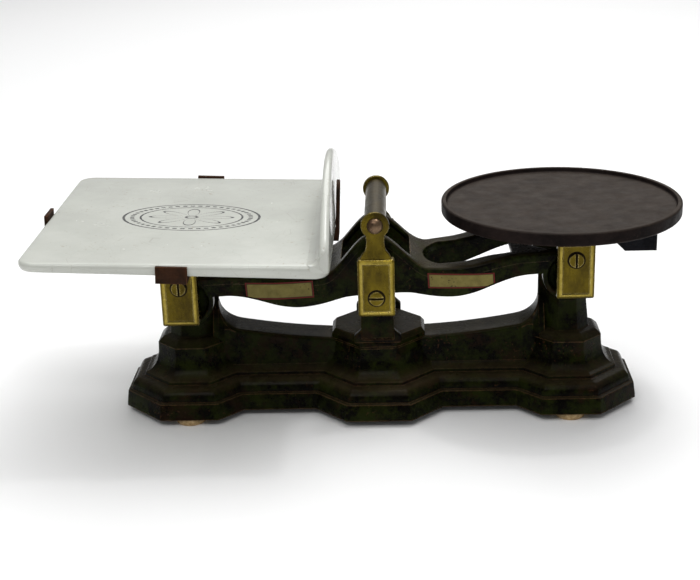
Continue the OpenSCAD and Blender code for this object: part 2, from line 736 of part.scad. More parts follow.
// Cross under the weight pan
weights_top = crown_top + pan_arm_t;
arm_end = pan_r - 10;
arm_taper = 15;
arm_tip = 3;
tip_pad_l = 12;
tip_pad_h = pan_h - recess - floor_t;
box_screw = 14;
lid_t = 3;
lid_screw_r = 2;
lid_head_r = 4.5;

// Two arms in line: each thins towards its tip and ends in a pad under the pan's floor
module arm_pair() slab_y(-pan_arm_w / 2, pan_arm_w / 2) polygon([
    [-arm_end, pan_arm_t + tip_pad_h], [-arm_end, pan_arm_t - arm_tip], [-arm_end + arm_taper, 0],
    [arm_end - arm_taper, 0], [arm_end, pan_arm_t - arm_tip], [arm_end, pan_arm_t + tip_pad_h],
    [arm_end - tip_pad_l, pan_arm_t + tip_pad_h], [arm_end - tip_pad_l, pan_arm_t],
    [-arm_end + tip_pad_l, pan_arm_t], [-arm_end + tip_pad_l, pan_arm_t + tip_pad_h]]);

module weights_cross() color(iron) at_end(weights) difference() {
    union() {
        translate([-load_in, 0, crown_top]) {
            arm_pair();
            rotate([0, 0, 90]) arm_pair();
        }
        translate([0, 0, crown_top]) cylinder(r = cross_hub, h = pan_arm_t);
    }
    translate([0, 0, crown_top - 1]) cylinder(r = bolt_r + play, h = 20);
    translate([0, 0, weights_top - bolt_head_h]) cylinder(r = hole_r, h = 20);
    for (s = sides) translate([box_out + box_x / 2 + s * box_screw, 0, crown_top - 1]) {
        cylinder(r = lid_screw_r + play, h = 20);
        translate([0, 0, pan_arm_t - 2]) cylinder(r = lid_head_r + 0.3, h = 10);
    }
}

module weights_cross_bolt() color(steel) at_end(weights) cross_bolt(weights_top);

// Balance box for shot, hung under the outer arm by two screws through its lid
module balance_box() color(enamel) at_end(weights) translate([box_out, 0, crown_top - lid_t]) difference() {
    slab_y(-box_y / 2, box_y / 2) polygon([[0, 0], [0, -box_z + lid_t + 12], [12, -box_z + lid_t],
        [box_x, -box_z + lid_t], [box_x, 0]]);
    difference() {
        slab_y(-box_y / 2 + box_wall, box_y / 2 - box_wall) polygon([[box_wall, 1], [box_wall, -box_z + lid_t + 13],
            [13, -box_z + lid_t + box_wall], [box_x - box_wall, -box_z + lid_t + box_wall], [box_x - box_wall, 1]]);
        for (s = sides) translate([box_x / 2 + s * box_screw, 0, -12]) cylinder(r = 5, h = 14);
        for (s = sides) box([s < 0 ? 0 : box_x / 2 + box_screw, -5, -12], [s < 0 ? box_x / 2 - box_screw : box_x, 5, 2]);
    }
    for (s = sides) translate([box_x / 2 + s * box_screw, 0, -10]) cylinder(r = lid_screw_r + play, h = 12);
}

module balance_box_lid() color(enamel) at_end(weights) translate([box_out, 0, crown_top - lid_t]) difference() {
    box([0, -box_y / 2, 0], [box_x, box_y / 2, lid_t]);
    for (s = sides) translate([box_x / 2 + s * box_screw, 0, -1]) cylinder(r = lid_screw_r + play, h = 10);
}

module lid_screws() color(steel) at_end(weights) for (s = sides)
    translate([box_out + box_x / 2 + s * box_screw, 0, crown_top]) {
        translate([0, 0, -lid_t - 9]) cylinder(r = lid_screw_r, h = lid_t + 9 + pan_arm_t - 2);
        translate([0, 0, pan_arm_t - 2]) cylinder(r = lid_head_r, h = 1.7);
    }

module balance_lead() color([0.35, 0.35, 0.37]) at_end(weights)
    translate([box_out + 16, 0, crown_top - box_z + box_wall]) box([0, -box_y / 2 + box_wall + 1, 0],
        [box_x - 16 - box_wall - 1, box_y / 2 - box_wall - 1, 8]);

// Weight pan, turned in one piece; its floor lies on the pads, and its rim reaches round them
module weight_pan() color(iron) at_end(weights) translate([-load_in, 0, weights_top]) rotate_extrude($fn = 96)
    polygon([[0, pan_h - recess - floor_t], [pan_r - rim_t - 3, pan_h - recess - floor_t], [pan_r - rim_t, 0],
        [pan_r - 1, 0], [pan_r, 1.5], [pan_r, pan_h - 1.5], [pan_r - 1.5, pan_h], [pan_r - rim_t, pan_h],
        [pan_r - rim_t - 1, pan_h - recess], [0, pan_h - recess]]);

base_casting();
feet();
centre_bearings();
link_pin();
centre_cover_front();
centre_cover_back();
centre_cover_screws();
handle_rod();
handle_caps();
beam();
centre_knife();
goods_knives();
weights_knives();
check_link();
goods_carrier();
goods_bearings();
goods_leg();
goods_leg_pin();
goods_cover_front();
goods_cover_back();
goods_cover_screws();
goods_cross();
goods_cross_bolt();
weights_carrier();
weights_bearings();
weights_leg();
weights_leg_pin();
weights_cover_front();
weights_cover_back();
weights_cover_screws();
weights_cross();
weights_cross_bolt();
balance_box();
balance_box_lid();
balance_lead();
lid_screws();
goods_plate();
weight_pan();
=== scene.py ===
"""Looks of the platform scale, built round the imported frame."""
import json

import bmesh
import bpy
import numpy as np
from mathutils import Matrix, Vector
from mathutils.geometry import delaunay_2d_cdt

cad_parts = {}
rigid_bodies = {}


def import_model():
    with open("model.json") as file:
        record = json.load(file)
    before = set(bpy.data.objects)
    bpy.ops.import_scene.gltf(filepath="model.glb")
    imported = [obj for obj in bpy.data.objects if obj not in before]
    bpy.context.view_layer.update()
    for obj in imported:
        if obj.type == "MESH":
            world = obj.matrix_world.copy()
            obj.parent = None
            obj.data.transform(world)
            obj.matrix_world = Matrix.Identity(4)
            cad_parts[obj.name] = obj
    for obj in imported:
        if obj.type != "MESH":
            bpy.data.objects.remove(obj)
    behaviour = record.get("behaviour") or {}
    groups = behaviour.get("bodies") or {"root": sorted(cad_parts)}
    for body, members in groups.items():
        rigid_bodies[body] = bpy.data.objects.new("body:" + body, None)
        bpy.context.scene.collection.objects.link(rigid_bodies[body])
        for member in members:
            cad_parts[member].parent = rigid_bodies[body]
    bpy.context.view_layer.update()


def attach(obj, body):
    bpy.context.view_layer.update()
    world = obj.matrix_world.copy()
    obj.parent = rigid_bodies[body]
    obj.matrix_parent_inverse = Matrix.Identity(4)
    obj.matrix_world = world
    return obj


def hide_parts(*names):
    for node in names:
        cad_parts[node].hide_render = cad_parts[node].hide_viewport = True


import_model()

# Sizes in mm, as in the part: centre knife edge and height of the feet, arm of the beam
# and its tilt at rest, which give where the end knives are
KNIFE_X, KNIFE_Z, FOOT_H = 15.305, 154.5, 7.5
ARM, TILT = 203.2, np.radians(3.15)
REACH, RISE = ARM * np.cos(TILT), ARM * np.sin(TILT)
# Tray and pan: distance of their middle inwards of the end knives, heights over them
LOAD_IN, TRAY_UP, PAN_UP = 8.5, 54.9, 44.0
# Base: half length of the plinth, half depths of its parts and its top; where the front
# changes depth, from the middle outwards, and half the flat of its ends
PLINTH_X, WAIST_Y, END_Y, MIDDLE_Y, PLINTH_TOP = 275.2, 49.8, 74.8, 83.8, 67.5
MIDDLE_X, WAIST_IN, WAIST_OUT, BLOCK_IN, BLOCK_OUT, END_FLAT = 34.0, 68.0, 145.8, 170.8, 232.4, 32.0
# Wells, columns, feet and stands
WELL_R, WELL_LOW, COLUMN_IN, COLUMN_TOP = 13.2, 48.5, 172.0, 146.53
FOOT_X, FOOT_Y, FOOT_R = 202.0, 58.0, 15.7
STAND_TOP, STAND_FACE, STAND_BACK = 152.0, 61.4, 48.0
# Brass covers: size, lower edges over the end knives and over the base; screw heads and
# their slots; ears round the handle rod
COVER_W, COVER_H, END_LOW, CENTRE_LOW = 38.0, 61.5, -28.9, 113.6
HEAD_R, HALF_SLOT, EAR_R, EAR_Z = 7.6, 0.9, 14.5, 210.6
# Slide of an octagon's corner for each mm drawn in, and merging distance in metres
MITRE = np.tan(np.radians(22.5))
WELD = 2e-6


def shift(x=0.0, y=0.0, z=0.0):
    """Matrix that moves by x, y, z."""
    m = np.eye(4)
    m[:3, 3] = x, y, z
    return m


def turn(axis, angle):
    """Matrix that turns about X, Y or Z by an angle in radians."""
    return np.array(Matrix.Rotation(float(angle), 4, axis))


def flip(axis):
    """Matrix that mirrors one axis: 0, 1 or 2."""
    m = np.eye(4)
    m[axis, axis] = -1
    return m


BASE = shift(KNIFE_X, 0, FOOT_H)
BEAM = shift(KNIFE_X, 0, KNIFE_Z) @ turn("Y", -TILT)
GOODS = shift(KNIFE_X - REACH, 0, KNIFE_Z - RISE) @ flip(0)
WEIGHTS = shift(KNIFE_X + REACH, 0, KNIFE_Z + RISE)
# Carries a shape drawn in X and Z, with its thickness along -Y, to the front
UPRIGHT = np.array([[1, 0, 0, 0], [0, 0, -1, 0], [0, 1, 0, 0], [0, 0, 0, 1.0]])


def unit(v):
    """Vectors brought to length one."""
    return v / np.maximum(np.linalg.norm(v, axis=-1, keepdims=True), 1e-12)


def rounded(points, radius, steps=4, closed=True):
    """Outline with each corner replaced by an arc: a rational curve of degree two
    whose middle weight is the cosine of half the turn."""
    p = np.asarray(points, float)
    before, after = np.roll(p, 1, 0), np.roll(p, -1, 0)
    a, b = unit(p - before), unit(after - p)
    la, lb = np.linalg.norm(p - before, axis=1), np.linalg.norm(after - p, axis=1)
    c = np.clip((a * b).sum(1), -0.999, 1)
    w = np.sqrt((1 + c) / 2)
    cut = np.minimum(np.asarray(radius) * np.sqrt((1 - c) / (1 + c)), 0.48 * np.minimum(la, lb))
    if not closed:
        cut[[0, -1]] = 0
    s = np.linspace(0, 1, steps + 1)[None, :, None]
    lo, hi = (p - a * cut[:, None])[:, None], (p + b * cut[:, None])[:, None]
    k = w[:, None, None]
    arc = ((1 - s) ** 2 * lo + 2 * s * (1 - s) * k * p[:, None] + s ** 2 * hi)
    arc = arc / ((1 - s) ** 2 + 2 * s * (1 - s) * k + s ** 2)
    if not closed:
        return np.concatenate([p[:1], arc[1:-1].reshape(-1, p.shape[1]), p[-1:]])
    return arc.reshape(-1, p.shape[1])


def curve(points, steps=4):
    """Smooth line through points: a cubic whose slope at each point is half the step
    between its neighbours."""
    p = np.asarray(points, float)
    e = np.concatenate([2 * p[:1] - p[1:2], p, 2 * p[-1:] - p[-2:-1]])
    t = (np.arange(steps) / steps)[None, :, None]
    a, b, c, d = (e[i:len(p) - 1 + i, None] for i in range(4))
    q = 0.5 * (2 * b + (c - a) * t + (2 * a - 5 * b + 4 * c - d) * t ** 2 + (3 * b - a - 3 * c + d) * t ** 3)
    return np.concatenate([q.reshape(-1, p.shape[1]), p[-1:]])


def inset(outline, d):
    """Outline moved to its left by d along the mitred normal of each corner; with an
    array of distances it gives one ring for each."""
    p = np.asarray(outline, float)
    e = unit(np.roll(p, -1, 0) - p)
    n = np.stack([-e[:, 1], e[:, 0]], 1)
    m = np.roll(n, 1, 0)
    v = (n + m) / np.maximum(1 + (n * m).sum(1, keepdims=True), 0.3)
    return p + np.asarray(d, float)[..., None, None] * v


def bar(low, high, r0=0.8, r1=0.8, steps=3):
    """Profile of a slab from low to high with both arrises rounded."""
    t = np.linspace(0, np.pi / 2, steps + 1)
    under = np.stack([r0 * (1 - np.sin(t)), low + r0 * (1 - np.cos(t))], 1)
    over = np.stack([r1 * (1 - np.cos(t)), high - r1 + r1 * np.sin(t)], 1)
    return np.concatenate([under, over])


def circle(r, n=64, x=0.0, y=0.0, hole=False):
    """Ring of n points; clockwise for a hole."""
    a = np.linspace(0, 2 * np.pi, n, endpoint=False) * (-1 if hole else 1)
    return np.stack([x + r * np.cos(a), y + r * np.sin(a)], 1)


def box_outline(x, y, r=2.0, steps=4, cx=0.0, cy=0.0):
    """Rectangle of half sizes x and y with round corners."""
    return rounded(np.array([[-x, -y], [x, -y], [x, y], [-x, y]]) + [cx, cy], r, steps)


def within(points, loops):
    """Which points lie inside the loops by the odd number of edges to their right."""
    odd = np.zeros(len(points), bool)
    px, py = points[:, :1], points[:, 1:2]
    for loop in loops:
        a, b = loop, np.roll(loop, -1, 0)
        rise = np.where(np.abs(b[:, 1] - a[:, 1]) < 1e-12, 1e-12, b[:, 1] - a[:, 1])
        at = a[:, 0] + (py - a[:, 1]) * (b[:, 0] - a[:, 0]) / rise
        odd ^= (((a[:, 1] > py) != (b[:, 1] > py)) & (px < at)).sum(1) % 2 == 1
    return odd


def filled(loops, spots=()):
    """Points and triangles that fill the first loop less the others; spots are more
    points inside."""
    edges, start = [], 0
    for loop in loops:
        k = np.arange(len(loop))
        edges += np.stack([start + k, start + (k + 1) % len(loop)], 1).tolist()
        start += len(loop)
    flat = np.concatenate([*loops, *spots])
    out = delaunay_2d_cdt([Vector(p) for p in flat.tolist()], edges, [], 0, 1e-6)
    v, f = (np.array([tuple(item) for item in out[part]]) for part in (0, 2))
    return v, f[within(v[f].mean(1), loops)]


class Shape:
    """Points and faces gathered in mm, then made into one object."""

    def __init__(self):
        self.points, self.faces, self.count = [], [], 0

    def put(self, points, faces):
        """Adds points, and faces that count from the first of them."""
        self.faces += [tuple(int(i) + self.count for i in f) for f in faces]
        self.points.append(np.asarray(points, float).reshape(-1, 3))
        self.count += len(self.points[-1])
        return self

    def rings(self, rings, caps=(True, True), round_trip=False):
        """Skin over rings of as many points each: point i of ring k joins points
        i and i + 1 of ring k + 1; round_trip joins the last ring to the first."""
        r = np.asarray(rings, float)
        n, m = r.shape[:2]
        ids = np.arange(n * m).reshape(n, m)
        if round_trip:
            ids = np.concatenate([ids, ids[:1]])
        a, b = ids[:-1], ids[1:]
        quads = np.stack([a, np.roll(a, -1, 1), np.roll(b, -1, 1), b], -1).reshape(-1, 4).tolist()
        if not round_trip:
            quads += [ids[0][::-1].tolist()] * bool(caps[0]) + [ids[-1].tolist()] * bool(caps[1])
        return self.put(r, quads)

    def pierced(self, loops, profiles, lift=None, grid=0):
        """Slab with holes: each loop is drawn in by its own profile of distance and
        height, and triangles fill both ends; lift gives more height at x, and grid
        the spacing of points inside the ends."""
        for loop, profile in zip(loops, profiles):
            flat = inset(loop, profile[:, 0])
            z = np.broadcast_to(profile[:, 1][:, None], flat.shape[:2])
            z = z + (lift(flat[..., 0]) if lift else 0)
            self.rings(np.concatenate([flat, z[..., None]], -1), caps=(False, False))
        for end in (0, -1):
            ends = [inset(loop, profile[end, 0]) for loop, profile in zip(loops, profiles)]
            spots = []
            if grid:
                low, high = ends[0].min(0), ends[0].max(0)
                gx, gy = (np.arange(low[i] + grid / 2, high[i], grid * (1 + i)) for i in (0, 1))
                inner = np.stack(np.meshgrid(gx, gy), -1).reshape(-1, 2)
                spots = [inner[within(inner, [inset(loop, 1.2) for loop in ends])]]
            v, f = filled(ends, spots)
            z = profiles[0][end, 1] + (lift(v[:, 0]) if lift else np.zeros(len(v)))
            self.put(np.column_stack([v, z]), f.tolist())
        return self

    def turned(self, profile, n=96):
        """Solid of revolution about Z from radius and height."""
        p = np.asarray(profile, float)
        a = np.linspace(0, 2 * np.pi, n, endpoint=False)
        ring = np.stack([np.outer(p[:, 0], np.cos(a)), np.outer(p[:, 0], np.sin(a)),
                         np.repeat(p[:, 1:], n, 1)], -1)
        return self.rings(ring, caps=(p[0, 0] > 0, p[-1, 0] > 0))

    def made(self, name, body, finish, places=(np.eye(4),), replaces=(), sharp=32.0):
        """Object with a copy of the shape at each place, its seams merged and its faces
        turned outwards; edges that turn by more than sharp degrees stay crisp."""
        p = np.concatenate(self.points)
        homo = np.column_stack([p, np.ones(len(p))])
        points, faces = [], []
        for k, m in enumerate(places):
            points.append((homo @ np.asarray(m).T)[:, :3] * 0.001)
            faces += [tuple(i + k * len(p) for i in f) for f in self.faces]
        mesh = bpy.data.meshes.new(name)
        mesh.from_pydata(np.concatenate(points).tolist(), [], faces)
        return settle(mesh, name, body, finish, replaces, sharp)


def settle(mesh, name, body, finish, replaces=(), sharp=32.0):
    """Closes a mesh's seams, turns it outwards, shades it and hangs it on its body."""
    work = bmesh.new()
    work.from_mesh(mesh)
    bmesh.ops.remove_doubles(work, verts=work.verts, dist=WELD)
    bmesh.ops.dissolve_degenerate(work, edges=work.edges, dist=1e-7)
    bmesh.ops.recalc_face_normals(work, faces=work.faces)
    work.to_mesh(mesh)
    work.free()
    mesh.shade_smooth()
    mesh.set_sharp_from_angle(angle=np.radians(sharp))
    obj = bpy.data.objects.new(name, mesh)
    bpy.context.scene.collection.objects.link(obj)
    obj.data.materials.append(FINISHES[finish])
    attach(obj, body)
    if replaces:
        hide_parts(*replaces)
    return obj


def node_object(node):
    """The shown object of a CAD node."""
    return next(o for o in bpy.data.objects if o.type == "MESH" and o.name.split(".")[0] == node)


def soften(node, body, finish, width):
    """Copy of a CAD node whose triangles are merged into whole faces and whose
    arrises are rounded to a width in mm; it stands for the node."""
    source = node_object(node)
    mesh = source.data.copy()
    mesh.materials.clear()
    work = bmesh.new()
    work.from_mesh(mesh)
    work.transform(source.matrix_world)
    bmesh.ops.remove_doubles(work, verts=work.verts, dist=WELD)
    bmesh.ops.dissolve_limit(work, angle_limit=0.01, verts=work.verts, edges=work.edges,
                             use_dissolve_boundaries=False)
    bmesh.ops.recalc_face_normals(work, faces=work.faces)
    crisp = [e for e in work.edges if len(e.link_faces) == 2 and e.calc_face_angle(0) > np.radians(35)]
    bmesh.ops.bevel(work, geom=crisp, offset=width * 0.001, segments=2, profile=0.5, affect="EDGES",
                    clamp_overlap=True)
    work.to_mesh(mesh)
    work.free()
    return settle(mesh, node + "_soft", body, finish, (node,), 30.0)


# Materials by finish
FINISHES = {}


def rgb(r, g, b):
    """Linear colour of a screen colour from 0 to 255."""
    c = np.array([r, g, b]) / 255
    return (*np.where(c <= 0.04045, c / 12.92, ((c + 0.055) / 1.055) ** 2.4).tolist(), 1.0)


def feed(tree, node, inputs):
    """Sets a node's inputs, by name or number, to values, or joins them to sockets."""
    for key, value in dict(inputs).items():
        if isinstance(value, bpy.types.NodeSocket):
            tree.links.new(value, node.inputs[key])
        else:
            node.inputs[key].default_value = value
    return node


class Web:
    """Short way to add and join shader nodes in one tree."""

    def __init__(self, tree):
        self.tree = tree

    def add(self, kind, inputs=(), **settings):
        """Node of a kind; inputs are values or sockets by name or number."""
        node = self.tree.nodes.new("ShaderNode" + kind)
        for key, value in settings.items():
            setattr(node, key, value)
        return feed(self.tree, node, inputs)

    def math(self, kind, a, b=0.0):
        """Result of one or two values."""
        return self.add("Math", {0: a, 1: b}, operation=kind).outputs[0]

    def times(self, a, b):
        """Product of two values."""
        return self.math("MULTIPLY", a, b)

    def mix(self, factor, a, b):
        """Colour that runs from a, where factor is 0, to b, where it is 1."""
        return self.add("Mix", {0: factor, 6: a, 7: b}, data_type="RGBA").outputs[2]

    def here(self):
        """Place on the object, in metres."""
        return self.add("TexCoord").outputs["Object"]

    def parts(self, vector):
        """X, Y and Z of a vector."""
        return self.add("SeparateXYZ", {0: vector}).outputs

    def facing(self):
        """How far a face looks up: Z of its normal."""
        return self.parts(self.add("NewGeometry").outputs["Normal"])[2]

    def noise(self, scale, detail=4.0, rough=0.55, stretch=None, offset=0.0):
        """Noise from 0 to 1 in object coordinates, in cycles to the metre."""
        at = self.here()
        if stretch or offset:
            at = self.add("Mapping", {"Vector": at, "Scale": stretch or (1, 1, 1),
                                      "Location": (offset, offset, offset)}).outputs[0]
        settings = {"Vector": at, "Scale": scale, "Detail": detail, "Roughness": rough}
        return self.add("TexNoise", settings).outputs[0]

    def ramp(self, value, low, high, to_low=0.0, to_high=1.0):
        """Value carried from low..high to to_low..to_high, and held at both ends."""
        return self.add("MapRange", {"Value": value, "From Min": low, "From Max": high, "To Min": to_low,
                                     "To Max": to_high}, clamp=True).outputs[0]

    def group(self, name, **inputs):
        """What a shader group of new_group gives for its inputs."""
        node = self.tree.nodes.new("ShaderNodeGroup")
        node.node_tree = bpy.data.node_groups[name]
        return feed(self.tree, node, inputs).outputs[0]


def new_group(name, inputs, output):
    """Empty shader group with float inputs and one float output."""
    tree = bpy.data.node_groups.new(name, "ShaderNodeTree")
    for key, value in inputs.items():
        tree.interface.new_socket(key, in_out="INPUT", socket_type="NodeSocketFloat").default_value = value
    tree.interface.new_socket(output, in_out="OUTPUT", socket_type="NodeSocketFloat")
    return Web(tree), tree.nodes.new("NodeGroupInput").outputs, tree.nodes.new("NodeGroupOutput").inputs


# Worn arrises that also paint highlights where arrises catch the light: where a rounded normal leaves the
# true one, broken up by noise; with Sides at 0 only arrises that face up
web, given, out = new_group("edge_wear_and_glint", {"Radius": 0.0015, "Amount": 0.5, "Sides": 1.0}, "Mask")
round_normal = web.add("Bevel", {"Radius": given["Radius"]}, samples=4).outputs[0]
normals = {0: round_normal, 1: web.add("NewGeometry").outputs["Normal"]}
bend = web.math("SUBTRACT", 1.0, web.add("VectorMath", normals, operation="DOT_PRODUCT").outputs["Value"])
patch = web.ramp(web.noise(160.0, 5.0, 0.62), 0.36, 0.66)
keen = web.times(web.ramp(bend, 0.012, 0.10), web.ramp(patch, 0.0, 1.0, 0.25, 1.0))
facing_up = web.ramp(web.parts(round_normal)[2], 0.25, 0.6)
keen = web.times(keen, web.math("MAXIMUM", given["Sides"], facing_up))
web.tree.links.new(web.times(keen, given["Amount"]), out["Mask"])

# Dirt and painted shade in corners: darker where the surface near a point closes it in
web, given, out = new_group("corner_dirt_and_shade", {"Reach": 0.003}, "Mask")
shut = web.add("AmbientOcclusion", {"Distance": given["Reach"]}, samples=4, only_local=True).outputs["AO"]
web.tree.links.new(web.ramp(shut, 0.55, 0.92, 1.0, 0.0), out["Mask"])

# Chips and specks: the peaks of a fine noise inside the peaks of a broad one
web, given, out = new_group("specks", {"Scale": 400.0, "Amount": 0.5}, "Mask")
fine = web.noise(given["Scale"], 3.0, 0.6)
level = web.ramp(web.noise(24.0, 3.0, 0.5, offset=7.0), 0.35, 0.65, 0.75, 0.60)
spot = web.ramp(web.math("SUBTRACT", fine, level), 0.0, 0.035)
web.tree.links.new(web.times(spot, given["Amount"]), out["Mask"])

# Dust and dull wear on what faces up, which also paints a sheen: faces that look up are lightened as if lit
# from above
web, given, out = new_group("dust_and_top_sheen", {"Amount": 0.5}, "Mask")
broken = web.ramp(web.noise(45.0, 6.0, 0.65, offset=3.0), 0.30, 0.70, 0.45, 1.0)
dust_and_sheen = web.times(web.ramp(web.facing(), 0.45, 0.98), broken)
web.tree.links.new(web.times(dust_and_sheen, given["Amount"]), out["Mask"])

# Grain of a sand casting, as a height
web, given, out = new_group("cast_grain", {"Scale": 700.0}, "Height")
grain = web.noise(given["Scale"], 4.0, 0.6)
pits = web.add("TexVoronoi", {"Vector": web.here(), "Scale": web.times(given["Scale"], 0.45)}).outputs[0]
web.tree.links.new(web.math("ADD", grain, web.times(web.ramp(pits, 0.0, 0.35), 0.5)), out["Height"])


def start(name):
    """New material for a finish, and the web of its shader."""
    FINISHES[name] = bpy.data.materials.new(name + "_finish")
    FINISHES[name].use_nodes = True
    return Web(FINISHES[name].node_tree)


def finish_of(name, color, rough, metal=0.0, coat=0.0, bump=None, coat_rough=0.15, ior=1.5,
              bump_size=0.0002, shine=0.5):
    """Gives a finish its looks, as values or sockets; bump is a height from 0 to 1 and
    bump_size what it stands for, in metres."""
    tree = FINISHES[name].node_tree
    skin = feed(tree, tree.nodes["Principled BSDF"], {
        "Base Color": color, "Roughness": rough, "Metallic": metal, "Coat Weight": coat,
        "Coat Roughness": coat_rough, "IOR": ior, "Specular IOR Level": shine})
    if bump is not None:
        relief = Web(tree).add("Bump", {"Height": bump, "Strength": 1.0, "Distance": bump_size})
        feed(tree, skin, {"Normal": relief.outputs[0]})


# Dark gloss enamel on cast iron, worn to brown on arrises with a painted highlight, dusty on top with a
# painted sheen, and with painted shade in its corners; on the beam the painted highlight stays on arrises
# that face up
for name, deep, pale, worn_and_lit, sides in (
        ("enamel", rgb(4, 3, 1), rgb(26, 31, 5), rgb(112, 84, 60), 1.0),
        ("beam_enamel", rgb(5, 4, 2), rgb(30, 36, 8), rgb(112, 92, 74), 0.0),
        ("blued", rgb(12, 13, 16), rgb(24, 25, 29), rgb(80, 76, 72), 1.0)):
    web = start(name)
    tone = web.mix(web.ramp(web.noise(40.0, 10.0, 0.8), 0.44, 0.57), deep, pale)
    brown = web.ramp(web.noise(24.0, 9.0, 0.78, offset=6.0), 0.53, 0.60, 0.0, 0.8)
    tone = web.mix(brown, tone, rgb(30, 18, 9))
    tone = web.mix(web.group("dust_and_top_sheen", Amount=0.75), tone, rgb(62, 54, 38))
    tone = web.mix(web.group("specks", Scale=330.0, Amount=0.75), tone, rgb(58, 38, 24))
    wear_and_glint = web.group("edge_wear_and_glint", Radius=0.0018, Amount=0.75, Sides=sides)
    tone = web.mix(wear_and_glint, tone, worn_and_lit)
    rough = web.ramp(web.noise(30.0, 4.0, 0.6, offset=5.0), 0.3, 0.7, 0.16, 0.34)
    rough = web.math("ADD", rough, web.times(wear_and_glint, 0.15))
    # Painted shade: corners up to 16 mm deep darkened nearly to black, where shade falls
    tone = web.mix(web.times(web.group("corner_dirt_and_shade", Reach=0.016), 0.9), tone, rgb(3, 2, 1))
    finish_of(name, tone, rough, bump=web.group("cast_grain", Scale=420.0), bump_size=0.00022, ior=1.19,
              shine=0.2)

# Bare cast iron: brown grey, with a rust tint towards arrises, and dust with a painted sheen that lightens
# the top against the darker sides
web = start("iron")
tone = web.mix(web.ramp(web.noise(26.0, 8.0, 0.74), 0.40, 0.62), rgb(14, 9, 8), rgb(30, 22, 20))
tone = web.mix(web.group("specks", Scale=420.0, Amount=0.7), tone, rgb(44, 32, 26))
tone = web.mix(web.group("dust_and_top_sheen", Amount=0.85), tone, rgb(64, 57, 51))
tone = web.mix(web.group("edge_wear_and_glint", Radius=0.0015, Amount=0.7), tone, rgb(96, 76, 60))
finish_of("iron", tone, web.ramp(web.noise(60.0, 4.0, 0.6, offset=2.0), 0.3, 0.7, 0.42, 0.68),
          bump=web.group("cast_grain", Scale=620.0), bump_size=0.00018, ior=1.15)

# Rusty bar iron
web = start("rusty")
tone = web.mix(web.ramp(web.noise(60.0, 6.0, 0.7), 0.35, 0.65), rgb(20, 10, 4), rgb(55, 31, 15))
tone = web.mix(web.group("specks", Scale=520.0, Amount=0.8), tone, rgb(34, 24, 20))
tone = web.mix(web.group("edge_wear_and_glint", Radius=0.0012, Amount=0.8), tone, rgb(132, 88, 58))
finish_of("rusty", tone, web.ramp(web.noise(90.0, 4.0, 0.6), 0.3, 0.7, 0.5, 0.8),
          bump=web.group("cast_grain", Scale=900.0), bump_size=0.00018, ior=1.2)

# Brass, once polished: olive tarnish, bright worn arrises that also paint a highlight, dark specks, grime
# with painted shade in the hollows, and on the covers a rubbed frame where they stand furthest out
for name, framed in (("brass", 0.0), ("cover_brass", 0.75)):
    web = start(name)
    streaks = web.ramp(web.noise(30.0, 7.0, 0.7, (1, 1, 0.5)), 0.38, 0.62)
    tone = web.mix(streaks, rgb(60, 49, 5), rgb(102, 87, 14))
    out_from_middle = web.math("ABSOLUTE", web.parts(web.here())[1])
    rubbed = web.times(web.ramp(out_from_middle, 0.07305, 0.0736),
                       web.ramp(web.noise(120.0, 5.0, 0.6, offset=8.0), 0.3, 0.6, 0.45, 1.0))
    tone = web.mix(web.times(rubbed, framed), tone, rgb(172, 152, 62))
    tone = web.mix(web.group("specks", Scale=460.0, Amount=0.75), tone, rgb(60, 46, 20))
    # Grime and painted shade in the hollows round the sunk panel
    tone = web.mix(web.group("corner_dirt_and_shade", Reach=0.0022), tone, rgb(28, 19, 3))
    # Worn arrises, lightened also as a painted highlight
    wear_and_glint = web.group("edge_wear_and_glint", Radius=0.0016, Amount=1.0)
    tone = web.mix(wear_and_glint, tone, rgb(226, 206, 136))
    rough = web.ramp(web.noise(70.0, 5.0, 0.6, offset=4.0), 0.3, 0.7, 0.18, 0.36)
    finish_of(name, tone, web.math("SUBTRACT", rough, web.times(wear_and_glint, 0.12)), 0.85,
              bump=web.noise(900.0, 3.0, 0.6, (1, 1, 0.08)), bump_size=0.00003)

# Dirt and painted shade round the screws and in their slots: a dark seat stands for the shadowed recess and
# slot floor
web = start("seat_dirt_and_shade")
finish_of("seat_dirt_and_shade", web.mix(web.noise(300.0), rgb(16, 11, 4), rgb(38, 28, 10)), 0.7, shine=0.1)

# Worn steel, and the browner handle rod and caps
for name, dark, pale, rough_low in (("steel", rgb(96, 90, 80), rgb(150, 144, 132), 0.30),
                                    ("rod", rgb(70, 62, 42), rgb(94, 84, 62), 0.26),
                                    ("cap", rgb(92, 72, 56), rgb(130, 108, 84), 0.20)):
    web = start(name)
    tone = web.mix(web.ramp(web.noise(60.0, 5.0, 0.6, (1, 0.06, 1)), 0.34, 0.68), dark, pale)
    tone = web.mix(web.group("specks", Scale=480.0, Amount=0.7), tone, rgb(60, 48, 36))
    tone = web.mix(web.group("edge_wear_and_glint", Radius=0.001, Amount=0.7), tone, rgb(190, 184, 170))
    rough = web.ramp(web.noise(80.0, 4.0, 0.6, offset=1.0), 0.3, 0.7, rough_low, rough_low + 0.2)
    finish_of(name, tone, rough, 0.9, bump=web.noise(700.0, 3.0, 0.6, (1, 0.06, 1)), bump_size=0.00003)

# Lead
web = start("lead")
finish_of("lead", web.mix(web.noise(60.0), rgb(70, 70, 74), rgb(104, 104, 108)), 0.6, 0.8)

# Pressed cork or soft wood of the feet
web = start("cork")
tone = web.mix(web.ramp(web.noise(260.0, 5.0, 0.7), 0.35, 0.65), rgb(150, 122, 78), rgb(198, 170, 126))
finish_of("cork", tone, 0.8, bump=web.noise(600.0, 4.0, 0.7), bump_size=0.0003)

